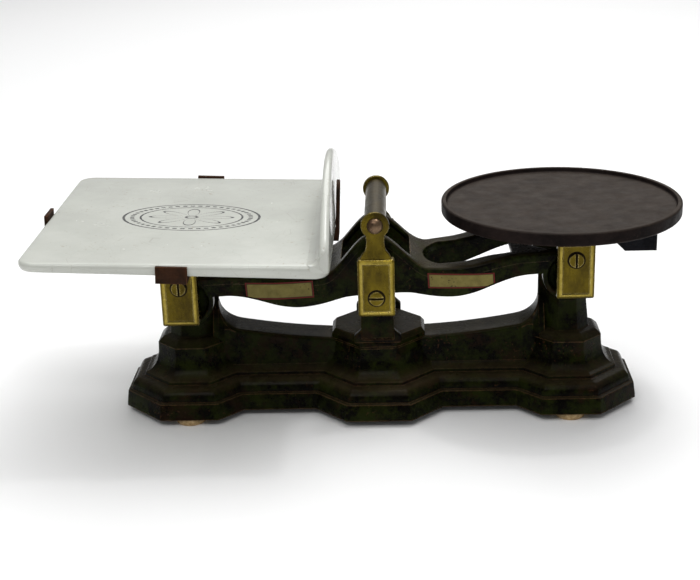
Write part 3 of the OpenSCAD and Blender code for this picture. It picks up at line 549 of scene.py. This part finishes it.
# Cream label with a thin red border and a dark line inside it; near is the distance in
# mm from the edge of a label of about 68 by 17 mm
web = start("label")
across = web.parts(web.add("UVMap").outputs[0])
near = web.math("MINIMUM", *(web.times(web.math("MINIMUM", part, web.math("SUBTRACT", 1.0, part)), size)
                             for part, size in zip(across, (68.0, 17.0))))
tone = web.mix(web.ramp(web.noise(120.0, 5.0, 0.65), 0.3, 0.7), rgb(102, 93, 46), rgb(127, 116, 62))
line = web.times(web.ramp(near, 1.2, 1.4), web.ramp(near, 1.75, 1.95, 1.0, 0.0))
tone = web.mix(line, tone, rgb(40, 38, 24))
tone = web.mix(web.ramp(near, 1.2, 1.4, 1.0, 0.0), tone, rgb(92, 20, 16))
tone = web.mix(web.group("specks", Scale=420.0, Amount=0.8), tone, rgb(50, 40, 26))
finish_of("label", tone, 0.42, shine=0.15)

# Off-white glaze with crazing, chips and a little rust
web = start("glaze")
tone = web.mix(web.ramp(web.noise(14.0, 5.0, 0.6), 0.3, 0.7), rgb(184, 186, 178), rgb(197, 199, 191))
cracks = web.add("TexVoronoi", {"Vector": web.here(), "Scale": 62.0}, feature="DISTANCE_TO_EDGE").outputs[0]
crazed = web.times(web.ramp(cracks, 0.0, 0.012, 1.0, 0.0),
                   web.ramp(web.noise(20.0, 3.0, 0.5, offset=9.0), 0.45, 0.62))
lying = web.ramp(web.facing(), 0.80, 0.97, 0.75, 0.3)
tone = web.mix(web.times(crazed, lying), tone, rgb(126, 116, 98))
tone = web.mix(web.group("specks", Scale=260.0, Amount=0.35), tone, rgb(150, 136, 110))
rust = web.times(web.group("edge_wear_and_glint", Radius=0.003, Amount=1.0),
                 web.ramp(web.noise(70.0, 5.0, 0.7, offset=11.0), 0.55, 0.68))
tone = web.mix(web.times(rust, 0.8), tone, rgb(122, 84, 56))

# A plain ringed rosette on the tray's top: oval rings round a star of eight petals, in
# metres from their middle
RINGS_X, OVAL = (KNIFE_X - REACH + LOAD_IN - 1.0) / 1000, 1.55
place = web.parts(web.here())
dx, dy = web.math("SUBTRACT", place[0], RINGS_X), web.times(place[1], OVAL)
far = web.math("SQRT", web.math("ADD", web.times(dx, dx), web.times(dy, dy)))
angle = web.math("ARCTAN2", dy, dx)


def off(radius):
    """Distance from an oval ring of a radius."""
    return web.math("ABSOLUTE", web.math("SUBTRACT", far, radius))


def band(radius, half):
    """Ring of a radius and half width, with soft edges."""
    return web.ramp(off(radius), half, half + 0.0004, 1.0, 0.0)


petal = web.times(web.math("ABSOLUTE", web.math("COSINE", web.times(angle, 4.0))), 0.044)
star = web.times(web.ramp(off(petal), 0.0013, 0.0020, 1.0, 0.0), web.ramp(far, 0.008, 0.009))
beads = web.times(web.math("ABSOLUTE", web.math("SINE", web.times(angle, 24.0))), band(0.063, 0.0022))
ink = star
for part in (band(0.072, 0.0012), band(0.054, 0.0009), web.ramp(beads, 0.55, 0.7), band(0.006, 0.0012)):
    ink = web.math("MAXIMUM", ink, part)
ink = web.times(ink, web.ramp(web.facing(), 0.97, 0.985))
ink = web.times(ink, web.ramp(web.noise(300.0, 4.0, 0.6), 0.25, 0.5, 0.55, 0.95))
ink = web.times(ink, web.ramp(place[2], 0.19, 0.2))
finish_of("glaze", web.mix(ink, tone, rgb(34, 36, 40)),
          web.ramp(web.noise(24.0, 4.0, 0.6), 0.3, 0.7, 0.16, 0.28), coat=0.4, coat_rough=0.08,
          bump=web.noise(40.0, 2.0, 0.5), bump_size=0.00025)


# Base: the plinth's plan, its mouldings and the hollow under it
def all_round(q):
    """Quarter outline, from the front's middle round to the end, mirrored twice."""
    q = np.asarray(q, float)
    return np.concatenate([q[::-1], q * [-1, 1], (q * [-1, -1])[::-1], q * [1, -1]])


def plan_of(i):
    """Plinth's outline, drawn in by i: a bulge in the middle and an octagon at each end,
    whose corners slide along their mitres by i times the tangent of 22.5 degrees."""
    m = MITRE * i
    return all_round([[MIDDLE_X - m, MIDDLE_Y - i], [WAIST_IN - m, WAIST_Y - i],
                      [WAIST_OUT + m, WAIST_Y - i], [BLOCK_IN + m, END_Y - i],
                      [BLOCK_OUT - m, END_Y - i], [PLINTH_X - i, END_FLAT - m]])


def rings_of(plan, profile, r, steps=4):
    """Rings of a plan drawn in by a profile's distances at its heights."""
    flat = np.stack([rounded(plan(i), r, steps) for i in profile[:, 0]])
    z = np.broadcast_to(profile[:, 1][:, None, None], flat.shape[:2] + (1,))
    return np.concatenate([flat, z], -1)


def level(outline, z):
    """Flat outline lifted to a height."""
    return np.column_stack([outline, np.full(len(outline), z)])


outer = np.concatenate([
    [[0, 0], [0.1, 3], [2, 17.5]], curve([[6, 18], [6.6, 22], [8.2, 26], [12.3, 30], [20.5, 31.7]]),
    curve([[21, 35], [27, 37.5], [32, 43.5], [34.5, 50], [36, 57], [36.5, PLINTH_TOP]])])
outer = rounded(outer, 0.9, 2, closed=False)
inner = curve([[39, WELL_LOW], [34, 36.5], [28, 30.5], [20, 25.5], [14, 19], [8, 13.5], [7.5, 0]], 3)
outer_rings, inner_rings = rings_of(plan_of, outer, 2.6), rings_of(plan_of, inner, 4.0)
wells = [circle(WELL_R, 48, s * REACH, 0, hole=True) for s in (-1, 1)]

plinth = Shape().rings(np.concatenate([inner_rings, outer_rings]), caps=(False, False))
for end in (outer_rings[-1], inner_rings[0]):
    v, f = filled([end[:, :2], *wells])
    plinth.put(level(v, end[0, 2]), f.tolist())
for well in wells:
    plinth.rings([level(well, z) for z in (WELL_LOW, PLINTH_TOP)], caps=(False, False))
plinth.made("plinth", "base", "enamel", [BASE], ["base_casting"])


def pedestal_plan(i, e):
    """Pedestal's outline, drawn in by i at the front and by e at the sides."""
    m = MITRE * i
    return all_round([[MIDDLE_X - m, MIDDLE_Y - i], [50 - e, MIDDLE_Y - i - (16 - e + m)]])


steps_up = rounded([[36.5, 0, 62], [36.5, 0, 69.2], [35.5, 0, 69.5], [35.5, 0, 74.5], [40, 4, 79.5],
                    [43, 7, 79.5]], 0.7, 2, False)
pad = np.stack([level(rounded(pedestal_plan(i, e), 2.0), z) for i, e, z in steps_up])
Shape().rings(pad).made("pedestal", "base", "enamel", [BASE])


# Columns over the wells, with the same octagon as the plinth's ends
def column_plan(i):
    """Column's outline, drawn in by i: the plinth's octagon with its inner side cut off
    where its slanting corners reach COLUMN_IN."""
    m = MITRE * i
    q = np.array([[BLOCK_OUT - m, END_Y - i], [PLINTH_X - i, END_FLAT - m]])
    p = np.array([[BLOCK_IN + m, END_Y - i], [COLUMN_IN, END_Y - i - (BLOCK_IN + m - COLUMN_IN)]])
    return np.concatenate([q[::-1], p, (p * [1, -1])[::-1], q * [1, -1]])


rise_up = np.concatenate([[[36.5, 66.5], [36.5, PLINTH_TOP]], curve([[38, 69.3], [41.5, 72.5], [44, 74]]),
                          [[49.5, 75.5], [52.5, 105], [52.5, 145.2], [53.8, COLUMN_TOP]]])
column = rings_of(column_plan, rounded(rise_up, 1.2, 3, False), 2.2)
spokes = unit(column[-1, :, :2] - [REACH, 0])
bore = [level(spokes * r + [REACH, 0], z)
        for r, z in ((WELL_R + 0.8, COLUMN_TOP), (WELL_R, 146.0), (WELL_R, 66.5))]
Shape().rings(np.concatenate([column, bore]), round_trip=True).made(
    "columns", "base", "enamel", [BASE, BASE @ flip(0)])

# Saddle wall: sections across the scale under a rim that sweeps up each column
HALF_WALL, SHOULDER, CROWN_R = 20.0, 81.5, 3.5
x = np.linspace(44, 148.9, 30)
sweep = np.radians(np.linspace(-80, 0, 22))[1:]
rim = np.concatenate([np.stack([x, 69.5 + 0.05 * (x - 50) + 0.00065 * (x - 50) ** 2], 1),
                      np.stack([144 + 28 * np.cos(sweep), 108.4 + 28 * np.sin(sweep)], 1), [[178, 108.4]]])
rim_x, rim_z = rim[:, :1], rim[:, 1:]
t = np.radians(np.linspace(0, 90, 5))
crown_y = HALF_WALL - 15 * np.clip((rim_z - SHOULDER) / 27.9, 0, 1) - CROWN_R * (1 - np.cos(t))
crown_z = rim_z - CROWN_R * (1 - np.sin(t))
side_y = np.full((len(rim), 2), HALF_WALL)
shoulder = np.minimum(np.minimum(rim_z - 2, SHOULDER), crown_z[:, :1] - 0.2)
side_z = np.concatenate([np.full((len(rim), 1), 40.0), shoulder], 1)
sec_y = np.concatenate([-side_y, -crown_y, crown_y[:, ::-1], side_y], 1)
sec_z = np.concatenate([side_z, crown_z, crown_z[:, ::-1], side_z[:, ::-1]], 1)
wall = np.stack([np.broadcast_to(rim_x, sec_y.shape), sec_y, sec_z], -1)
Shape().rings(wall).made("saddle_walls", "base", "enamel", [BASE, BASE @ flip(0)], sharp=40)


# Stands that carry the centre bearings, by level slices
def slices(z, y0, y1, w, r=1.8):
    """Stack of round-cornered rectangles: half width w, from y0 to y1 at each z."""
    return np.stack([level(box_outline(c, (b - a) / 2, r, 4, 0, (a + b) / 2), h)
                     for h, a, b, c in zip(*np.broadcast_arrays(z, y0, y1, w))])


z = np.array([66, 68, 70.5, 73, 75.5, 78, 81, 82.8, 84.5, 86.5, 88.5, 92, 98, 120, 138.5])
front = np.interp(z, [63.5, 70.5, 75.5, 81, 84.5, 88.5], [40, 48.3, 49.5, 54, 60, STAND_FACE])
rear = np.interp(z, [63.5, 77.5, 81.5, 86.5, 93.5], [36, 39, 43, 46.5, STAND_BACK])
stand = Shape().rings(slices(z, rear, front, 17.0))
z = np.linspace(76.5, 94.5, 12)
wide = 17 + 8 * (1 - np.sin(np.radians(90 * np.clip((z - 84) / 10.5, 0, 1))))
stand.rings(slices(z, np.interp(z, [68, 77.5, 94.5], [39, 40, 47]), 53.0, wide - 0.3, 2.5))
horn = slices([137.5, STAND_TOP - 1.2, STAND_TOP - 0.4, STAND_TOP], STAND_BACK + np.array([0, 0, 0.3, 1]),
              STAND_FACE - np.array([0, 0, 0.3, 1]), [3.9, 3.9, 3.7, 3.2], 1.0)
for s in (-1, 1):
    stand.rings(horn + [s * 13.1, 0, 0])
stand.made("stands", "base", "enamel", [BASE, BASE @ flip(1)])

# Cheeks for the link pin, and the bosses over the feet
cheeks = Shape()
foot_boss = np.stack([level(circle(r, 48), z) for r, z in ((15, 0.3), (15.4, 0.5), (15.6, 11), (15, 12))])
for s in (-1, 1):
    cheeks.rings(slices([13, 13.6, 14, 49.5], [5.2, 4.7, 4.5, 4.5], [11.3, 11.8, 12, 12], [8, 8.6, 9, 9],
                        1.2) * [1, s, 1])
    for e in (-1, 1):
        cheeks.rings(foot_boss + [e * FOOT_X, s * (FOOT_Y - 0.5), 0])
cheeks.made("cheeks_and_bosses", "base", "enamel", [BASE])

foot = Shape().turned([[0, 0], [FOOT_R - 1.2, 0], [FOOT_R - 0.3, 0.9], [FOOT_R, 2.0], [FOOT_R - 0.1, 6.8],
                       [FOOT_R - 0.5, FOOT_H], [0, FOOT_H]], 64)
corners = [shift(KNIFE_X + a * FOOT_X, b * FOOT_Y, 0) for a in (-1, 1) for b in (-1, 1)]
foot.made("feet_round", "base", "cork", corners, ["feet"])


# Beam: a deck with two windows over two webs, ended by dished bosses
BOSS_X, BOSS_Z, BOSS_R = ARM - 6, -8.0, 26.5
FORK_R, DECK_THICK, WEB_THICK = 49.0, 9.0, 12.0


def ease(a, b, t):
    """Half a cosine wave from a to b, as t runs from 0 to 1."""
    return a + (b - a) * (1 - np.cos(np.pi * np.clip(t, 0, 1))) / 2


def top_z(x):
    """Height of the deck over the knives' line: a whole cosine wave as the hump, and half
    a wave as the rise towards the ends."""
    x = np.abs(x)
    return 7.5 + ease(38.5, 0, x / 56) + ease(0, 11, (x - 76) / (0.77 * ARM - 76))


def low_z(x):
    """Height of the webs' lower edge: half a cosine wave down, then half a wave up."""
    x = np.abs(x)
    return np.where(x < 70, ease(-19.5, -24.2, (x - 20) / 50),
                    ease(-24.2, -4.4, (x - 74) / (0.78 * ARM - 74)))


def splay(x):
    """Distance of the webs' outer face from the middle: it grows by 15 as the mean of a
    straight line and a quarter of a sine wave."""
    u = np.clip((np.abs(x) - 35) / 70, 0, 1)
    return 45 + 15 * (u + np.sin(np.pi / 2 * u)) / 2


def clockwise(loop):
    """Loop that runs clockwise, as a hole does."""
    a, b = loop, np.roll(loop, -1, 0)
    return loop if (a[:, 0] * b[:, 1] - b[:, 0] * a[:, 1]).sum() < 0 else loop[::-1]


# Deck: its outline ends in round forks; a hole of half sizes HOLE_X and HOLE_Y opens the
# hump, and a window lies on each side of it
HOLE_X, HOLE_Y, FORK_TURN = 36.0, 33.0, np.pi / 2 - 0.123
x = np.linspace(BOSS_X, -BOSS_X, 111)
t = np.linspace(-FORK_TURN, FORK_TURN, 61)
fork = np.stack([ARM - FORK_R * np.cos(t), FORK_R * np.sin(t)], 1)
deck_line = np.concatenate([np.stack([x, splay(x)], 1), fork[::-1] * [-1, 1],
                            np.stack([-x, -splay(x)], 1), fork])
window = np.concatenate([curve([[50, 0], [51, 11], [54, 20], [59, 29], [66, 36]], 3), [[85, 36]],
                         curve([[96, 38], [116, 38], [131, 43], [141, 45]], 3)])
window = rounded(np.concatenate([window[1:], (window * [1, -1])[::-1], window[:1]]), 3.0, 3)
long_x = np.linspace(-31, 31, 17)
corner_in = HOLE_X - 6
half = np.concatenate([np.stack([long_x, np.full(17, -HOLE_Y)], 1),
                       rounded([[corner_in, -HOLE_Y], [HOLE_X, -HOLE_Y], [HOLE_X, HOLE_Y],
                                [corner_in, HOLE_Y]], 5, 5, False)[1:-1]])
loops = [deck_line, *map(clockwise, (np.concatenate([half, -half]), window, window * [-1, 1]))]
t = np.linspace(0, np.pi / 2, 6)
edge_out = np.concatenate([[[0, -DECK_THICK]], np.stack([4 * (1 - np.cos(t)), 4 * (np.sin(t) - 1)], 1)])
edge_in = bar(-DECK_THICK, 0.0, 0.8, 1.4)
Shape().pierced(loops, [edge_out, edge_in, edge_in, edge_in], top_z, 5.0).made(
    "beam_deck", "beam", "beam_enamel", [BEAM], ["beam"])

# Webs: sections across each bar, cut off where they meet the bosses
x = np.concatenate([np.linspace(-172, 172, 116), [175, 178, 182, 186, 190, 194]])
x = np.concatenate([-x[:115:-1], x])[:, None]
top, low, side = top_z(x), low_z(x), splay(x)
t = np.radians(np.linspace(0, 90, 4))
under_y = np.concatenate([[0.0], 2.0 * (1 - np.cos(t)), WEB_THICK - 1.5 * (1 - np.cos(t[::-1]))])
under_z = np.concatenate([[2.4], 2.0 * (1 - np.sin(t)), 1.5 * (1 - np.sin(t[::-1]))])
sec_y = np.concatenate([side, side - under_y, side - WEB_THICK, side - 0.6, side - 0.6], 1)
sec_z = np.concatenate([top - DECK_THICK, low + under_z, top - 5, top - 5, top - DECK_THICK], 1)
reach_x = BOSS_X - np.sqrt(np.maximum((BOSS_R - 2.5) ** 2 - (sec_z - BOSS_Z) ** 2, 0))
sec_x = np.sign(x) * np.minimum(np.abs(x), reach_x)
Shape().rings(np.stack([sec_x, sec_y, sec_z], -1)).made(
    "beam_webs", "beam", "beam_enamel", [BEAM, BEAM @ flip(1)])

# Bosses: a disc with a raised rim and a dished middle, axis along Y
dish = rounded([[0, 48], [BOSS_R - 1, 48], [BOSS_R, 49], [BOSS_R, 60.3], [21.5, 60.3], [20.6, 54.2],
                [0, 54.2]], [0, 0, 1, 1.8, 1.4, 2.2, 0], 4, False)
to_y = turn("X", -np.pi / 2)
BOTH_SIDES = np.eye(4), flip(1)
ends = [BEAM @ shift(a * BOSS_X, 0, BOSS_Z) @ m @ to_y for a in (-1, 1) for m in BOTH_SIDES]
Shape().turned(dish).made("beam_bosses", "beam", "beam_enamel", ends)


# Bare labels on the front bar
def label(name, x0, x1, z0, z1):
    """Thin panel that follows the bar's front face: x runs from x0 to x1, y is the
    bar's face, and z runs between two straight lines in the level frame."""
    u, v = np.meshgrid(np.linspace(0, 1, 25), np.linspace(0, 1, 5))
    x = x0 + (x1 - x0) * u
    z = (z0[0] + (z0[1] - z0[0]) * u) * (1 - v) + (z1[0] + (z1[1] - z1[0]) * u) * v
    z = np.maximum(z, low_z(x) + 2.6 + 0.2 * v)
    y = -splay(x)
    face = np.stack([x, y - 0.25, z], -1)
    rim = np.stack([x, y + 0.3, z], -1)
    rows, cols = face.shape[:2]
    ids = np.arange(rows * cols).reshape(rows, cols)
    quads = np.stack([ids[:-1, :-1], ids[:-1, 1:], ids[1:, 1:], ids[1:, :-1]], -1).reshape(-1, 4)
    n = rows * cols
    edge = np.concatenate([ids[0, :-1], ids[:-1, -1], ids[-1, :0:-1], ids[:0:-1, 0]])
    skirt = np.stack([edge, edge + n, np.roll(edge, -1) + n, np.roll(edge, -1)], 1)
    shape = Shape().put(np.concatenate([face.reshape(-1, 3), rim.reshape(-1, 3)]),
                        quads.tolist() + (quads[:, ::-1] + n).tolist() + skirt.tolist())
    obj = shape.made(name, "beam", "label", [BEAM])
    # Its map: how far along and how far up each point lies, from 0 to 1
    co = np.zeros(len(obj.data.vertices) * 3)
    obj.data.vertices.foreach_get("co", co)
    flat = (np.linalg.inv(BEAM) @ np.column_stack([co.reshape(-1, 3) * 1000, np.ones(len(co) // 3)]).T).T
    mu = (flat[:, 0] - x0) / (x1 - x0)
    lo, hi = z0[0] + (z0[1] - z0[0]) * mu, z1[0] + (z1[1] - z1[0]) * mu
    uv = np.stack([mu, (flat[:, 2] - lo) / (hi - lo)], 1)
    loops = np.zeros(len(obj.data.loops), int)
    obj.data.loops.foreach_get("vertex_index", loops)
    obj.data.uv_layers.new(name="UVMap").data.foreach_set("uv", uv[loops].ravel())


label("label_left", -135.5, -66, (-9.1, -14.4), (9.3, 4.0))
label("label_right", 53.0, 121.5, (-14.4, -14.3), (2.0, 0.9))


# Brass covers: a tray open at the back with a sunk panel in its face
def cover_shape(low):
    """Cover with its lower edge at a height: a round-cornered rectangle drawn in by a
    profile of distance and depth, which runs from the inside of the face, round the open
    back and over the outside to the sunk panel."""
    profile = rounded([[2.6, 71], [2.5, 61.6], [0.2, 61.6], [0, 62.2], [0, 72.2], [3.4, 74], [4.4, 74],
                       [5.6, 72.9], [7, 72.9]], [0, 0.3, 0.3, 0.3, 0.9, 0.7, 0.5, 0.5, 0], 3, False)
    return Shape().rings([level(box_outline(COVER_W / 2 - d, COVER_H / 2 - d, max(2.2 - d, 0.3), 5, 0,
                                            low + COVER_H / 2), y) for d, y in profile])


end_cover = cover_shape(END_LOW)
for where, m, body in (("goods", GOODS, "goods_side"), ("weights", WEIGHTS, "weights_side")):
    for side, n in zip(("front", "back"), BOTH_SIDES):
        node = f"{where}_cover_{side}"
        end_cover.made(node + "_tray", body, "cover_brass", [m @ n @ UPRIGHT], [node])

centre_cover = cover_shape(CENTRE_LOW)
a = np.linspace(np.radians(-49), np.radians(229), 45)
ear = np.stack([EAR_R * np.cos(a), EAR_Z + EAR_R * np.sin(a)], 1)
neck = curve([[18.4, 171], [14.4, 179.6], [10.6, 185], [9.5, 191], [9.4, 196.5]], 4)
ear_line = np.concatenate([[[18.4, 163]], neck, ear, neck[::-1] * [-1, 1], [[-18.4, 163]]])
ear_shape = Shape().pierced([ear_line], [bar(67, 70.9, 0.8, 1.2)])
for side, n in zip(("front", "back"), BOTH_SIDES):
    node = f"centre_cover_{side}"
    centre_cover.made(node + "_tray", "base", "cover_brass", [BASE @ n @ UPRIGHT], [node])
    ear_shape.made(f"centre_ear_{side}", "base", "brass", [BASE @ n @ UPRIGHT])

# Cover screws: two half discs that leave the slot, over a dark seat on a thin shank, whose dirt and painted
# shade stand for the shadowed recess round the head and the slot floor
a = np.linspace(np.arcsin(HALF_SLOT / HEAD_R), np.pi - np.arcsin(HALF_SLOT / HEAD_R), 29)
half_disc = np.stack([HEAD_R * np.cos(a), HEAD_R * np.sin(a)], 1)
head = Shape()
for s in (-1, 1):
    head.pierced([half_disc * s], [bar(73.1, 75.45, 0.05, 0.8)])
for where, m, body, inner_end, height, slot_turn in (
        ("centre", BASE, "base", 54, CENTRE_LOW + 20, 0),
        ("goods", GOODS, "goods_side", 63.5, END_LOW + 41.5, np.pi / 2),
        ("weights", WEIGHTS, "weights_side", 63.5, END_LOW + 41.5, np.pi / 2)):
    seat = Shape().turned([[0, inner_end], [2.5, inner_end], [2.5, 72], [9.2, 72], [9.2, 73.0], [8.9, 73.15],
                           [0, 73.15]], 64)
    places = [m @ n @ UPRIGHT @ shift(0, height, 0) @ turn("Z", slot_turn) for n in BOTH_SIDES]
    head.made(f"{where}_screw_heads", body, "brass", places, [f"{where}_cover_screws"])
    seat.made(f"{where}_screw_seats", body, "seat_dirt_and_shade", places)

# Handle rod with a slight swell, and its domed caps
swell = np.linspace(-66.4, 66.4, 41)
rod = np.stack([11.0 + 0.3 * np.cos(np.pi * swell / 150), swell], 1)
rod = np.concatenate([[[0, -67], [10.2, -67]], rod, [[10.2, 67], [0, 67]]])
handle = BASE @ shift(0, 0, EAR_Z)
Shape().turned(rod, 72).made("handle_bar", "base", "rod", [handle @ to_y], ["handle_rod"])
t = np.linspace(0, np.pi / 2, 12)
dome = np.concatenate([[[0, 71], [7.9, 71]], np.stack([8.3 * np.cos(t), 71.4 + 5.6 * np.sin(t)], 1)])
Shape().turned(dome, 64).made("handle_domes", "base", "cap", [handle @ n @ to_y for n in BOTH_SIDES],
                              ["handle_caps"])

# Pan: turned profile with rounded rim
ring = rounded([[0, 4], [117, 4], [120, 0], [124, 0], [125, 1.5], [125, 12], [123.5, 13.5], [120, 13.5],
                [119, 8.5], [0, 8.5]], [0, 2, 1, 1, 1, 1.4, 1.4, 1, 2.2, 0], 4, False)
Shape().turned(ring, 192).made("pan_round", "pan", "iron", [WEIGHTS @ shift(-LOAD_IN, 0, PAN_UP)],
                               ["weight_pan"])

# Tray: a bullnosed wedge, thicker towards the upstand, on the sloping arms of the cross
UNDER = np.radians(2.7)
ON_ARMS = GOODS @ shift(-LOAD_IN, 0, TRAY_UP) @ turn("Y", -UNDER)
HALF_X, HALF_Y, THIN, NOSE = 151.5, 156.5, 9.5, 3.6
DROP = 2 * HALF_X * np.tan(np.radians(0.9))
t = np.linspace(0, np.pi / 2, 9)
nose = np.concatenate([np.stack([NOSE * (1 - np.sin(t)), 0.6 * (1 - np.cos(t))], 1)[:-1],
                       np.stack([NOSE * (1 - np.cos(t)), 0.6 + 0.4 * np.sin(t)], 1)])
flat = inset(box_outline(HALF_X, HALF_Y, 18, 12), nose[:, 0])
thick = THIN + DROP * (HALF_X - flat[..., 0]) / (2 * HALF_X)
slab = np.concatenate([flat, (nose[:, 1][:, None] * thick)[..., None]], -1)
Shape().rings(slab).made("goods_tray", "plate", "glaze", [ON_ARMS], ["goods_plate"])

# Upstand: a coved wall, arched along the tray's inner edge and rounded at both ends
UP_THICK, COVE, END_ROUND = 9.2, 13.0, 7.0


def upright_section(h):
    """Sections of the upstand for a column of heights h: out along the foot cove, up the
    inner face, over a half round and down the outer face."""
    r, t = UP_THICK / 2, np.linspace(0, np.pi, 13)
    head_x, head_z = np.broadcast_to(r + r * np.cos(t), (len(h), 13)), h - r + r * np.sin(t)
    r, t = np.minimum(COVE, h - 5), np.linspace(0, np.pi / 2, 8)
    cove_x, cove_z = UP_THICK + r * (1 - np.sin(t)), r * (1 - np.cos(t))
    foot_x, foot_z = [0, 0, 1] * (UP_THICK + r), np.broadcast_to([2.0, -7.0, -7.0], (len(h), 3))
    return np.concatenate([cove_x, head_x, foot_x], 1), np.concatenate([cove_z, head_z, foot_z], 1)


tip = np.array([0.05, 0.5, 1.3, 2.6, 4.5])
y = np.concatenate([tip - HALF_Y, np.linspace(END_ROUND - HALF_Y, HALF_Y - END_ROUND, 101),
                    (HALF_Y - tip)[::-1]])[:, None]
close = np.clip((np.abs(y) - HALF_Y + END_ROUND) / END_ROUND, 0, 1)
close = END_ROUND * (1 - np.sqrt(1 - close ** 2))
h = 14 + 55.5 * np.cos(np.pi / 2 * np.abs(y) / HALF_Y) ** 0.8
sx, sz = upright_section(h)
sx = np.clip(sx, close * 0.6, None)
sz = sz - np.where(sz > 0, close * sz / h, 0)
up_x = 0.3 - HALF_X + sx + np.tan(UNDER) * np.maximum(sz, 0)
upright = np.stack([up_x, np.broadcast_to(y, sx.shape), THIN + DROP + sz - 0.1 * (sz > -1)], -1)
Shape().rings(upright).made("goods_upstand", "plate", "glaze", [ON_ARMS], sharp=50)

# What keeps its CAD shape, with its arrises rounded
for node, body, finish, width in (
        ("goods_carrier", "goods_side", "enamel", 1.0), ("weights_carrier", "weights_side", "enamel", 1.0),
        ("goods_cross", "goods_side", "rusty", 0.7), ("weights_cross", "weights_side", "rusty", 0.9),
        ("balance_box", "weights_side", "blued", 0.9), ("balance_box_lid", "weights_side", "blued", 0.5),
        ("lid_screws", "weights_side", "steel", 0.3), ("check_link", "link", "iron", 0.5),
        ("goods_leg", "goods_side", "iron", 0.5), ("weights_leg", "weights_side", "iron", 0.5),
        ("goods_cross_bolt", "goods_side", "steel", 0.4),
        ("weights_cross_bolt", "weights_side", "steel", 0.4)):
    soften(node, body, finish, width)

# Hidden pieces that only take a finish
for node in ("centre_bearings", "link_pin", "centre_knife", "goods_knives", "weights_knives",
             "goods_bearings", "weights_bearings", "goods_leg_pin", "weights_leg_pin", "balance_lead"):
    shown = node_object(node)
    shown.data.materials.clear()
    shown.data.materials.append(FINISHES["lead" if node == "balance_lead" else "steel"])

# Floor, light and camera
floor_mesh = bpy.data.meshes.new("floor")
floor_mesh.from_pydata([(-6, -6, 0), (6, -6, 0), (6, 6, 0), (-6, 6, 0)], [], [(0, 1, 2, 3)])
floor = bpy.data.objects.new("floor", floor_mesh)
bpy.context.scene.collection.objects.link(floor)
start("floor")
finish_of("floor", (0.97, 0.97, 0.97, 1), 0.9)
floor_mesh.materials.append(FINISHES["floor"])

world = bpy.data.worlds.new("studio")
bpy.context.scene.world = world
world.use_nodes = True
world.node_tree.nodes["Background"].inputs[0].default_value = (1, 1, 1, 1)
world.node_tree.nodes["Background"].inputs[1].default_value = 0.32
bpy.context.scene.view_settings.view_transform = "Standard"


def lamp(name, at, to, size, power):
    """Soft oblong light at a place, aimed at a point."""
    data = bpy.data.lights.new(name, "AREA")
    data.shape = "RECTANGLE"
    data.size, data.size_y, data.energy = *size, power
    obj = bpy.data.objects.new(name, data)
    bpy.context.scene.collection.objects.link(obj)
    aim = Vector(to) - Vector(at)
    obj.matrix_world = Matrix.Translation(at) @ aim.to_track_quat("-Z", "Y").to_matrix().to_4x4()


lamp("key", (0.42, 0.22, 1.9), (0, 0, 0.1), (0.8, 0.8), 7)
lamp("spark", (0.44, 0.12, 1.9), (0, 0, 0.1), (0.12, 0.12), 2.5)
lamp("top", (0.0, -0.1, 2.3), (0, 0, 0.1), (2.6, 2.6), 26)
lamp("strip", (-0.35, -1.35, 1.5), (0, 0, 0.1), (1.3, 0.12), 7)
lamp("back", (0.2, 2.6, 2.6), (0, 2.4, 0), (3.0, 3.0), 60)

# Camera, as fitted to the photograph: turned left, looking down, and a little askew
CAMERA_AT = 0.038745, -1.39565, 0.6338
yaw, pitch, roll = np.radians([-2.18, 20.04, -1.84])
ahead = np.array([np.sin(yaw) * np.cos(pitch), np.cos(yaw) * np.cos(pitch), -np.sin(pitch)])
across = np.array([np.cos(yaw), -np.sin(yaw), 0])
above = np.cross(across, ahead)
to_right = across * np.cos(roll) + above * np.sin(roll)
upwards = above * np.cos(roll) - across * np.sin(roll)
lens = bpy.data.cameras.new("camera")
lens.sensor_width, lens.lens = 36.0, 70.87
camera = bpy.data.objects.new("camera", lens)
bpy.context.scene.collection.objects.link(camera)
pose = np.eye(4)
pose[:3] = np.column_stack([to_right, upwards, -ahead, CAMERA_AT])
camera.matrix_world = Matrix(pose.tolist())
bpy.context.scene.camera = camera
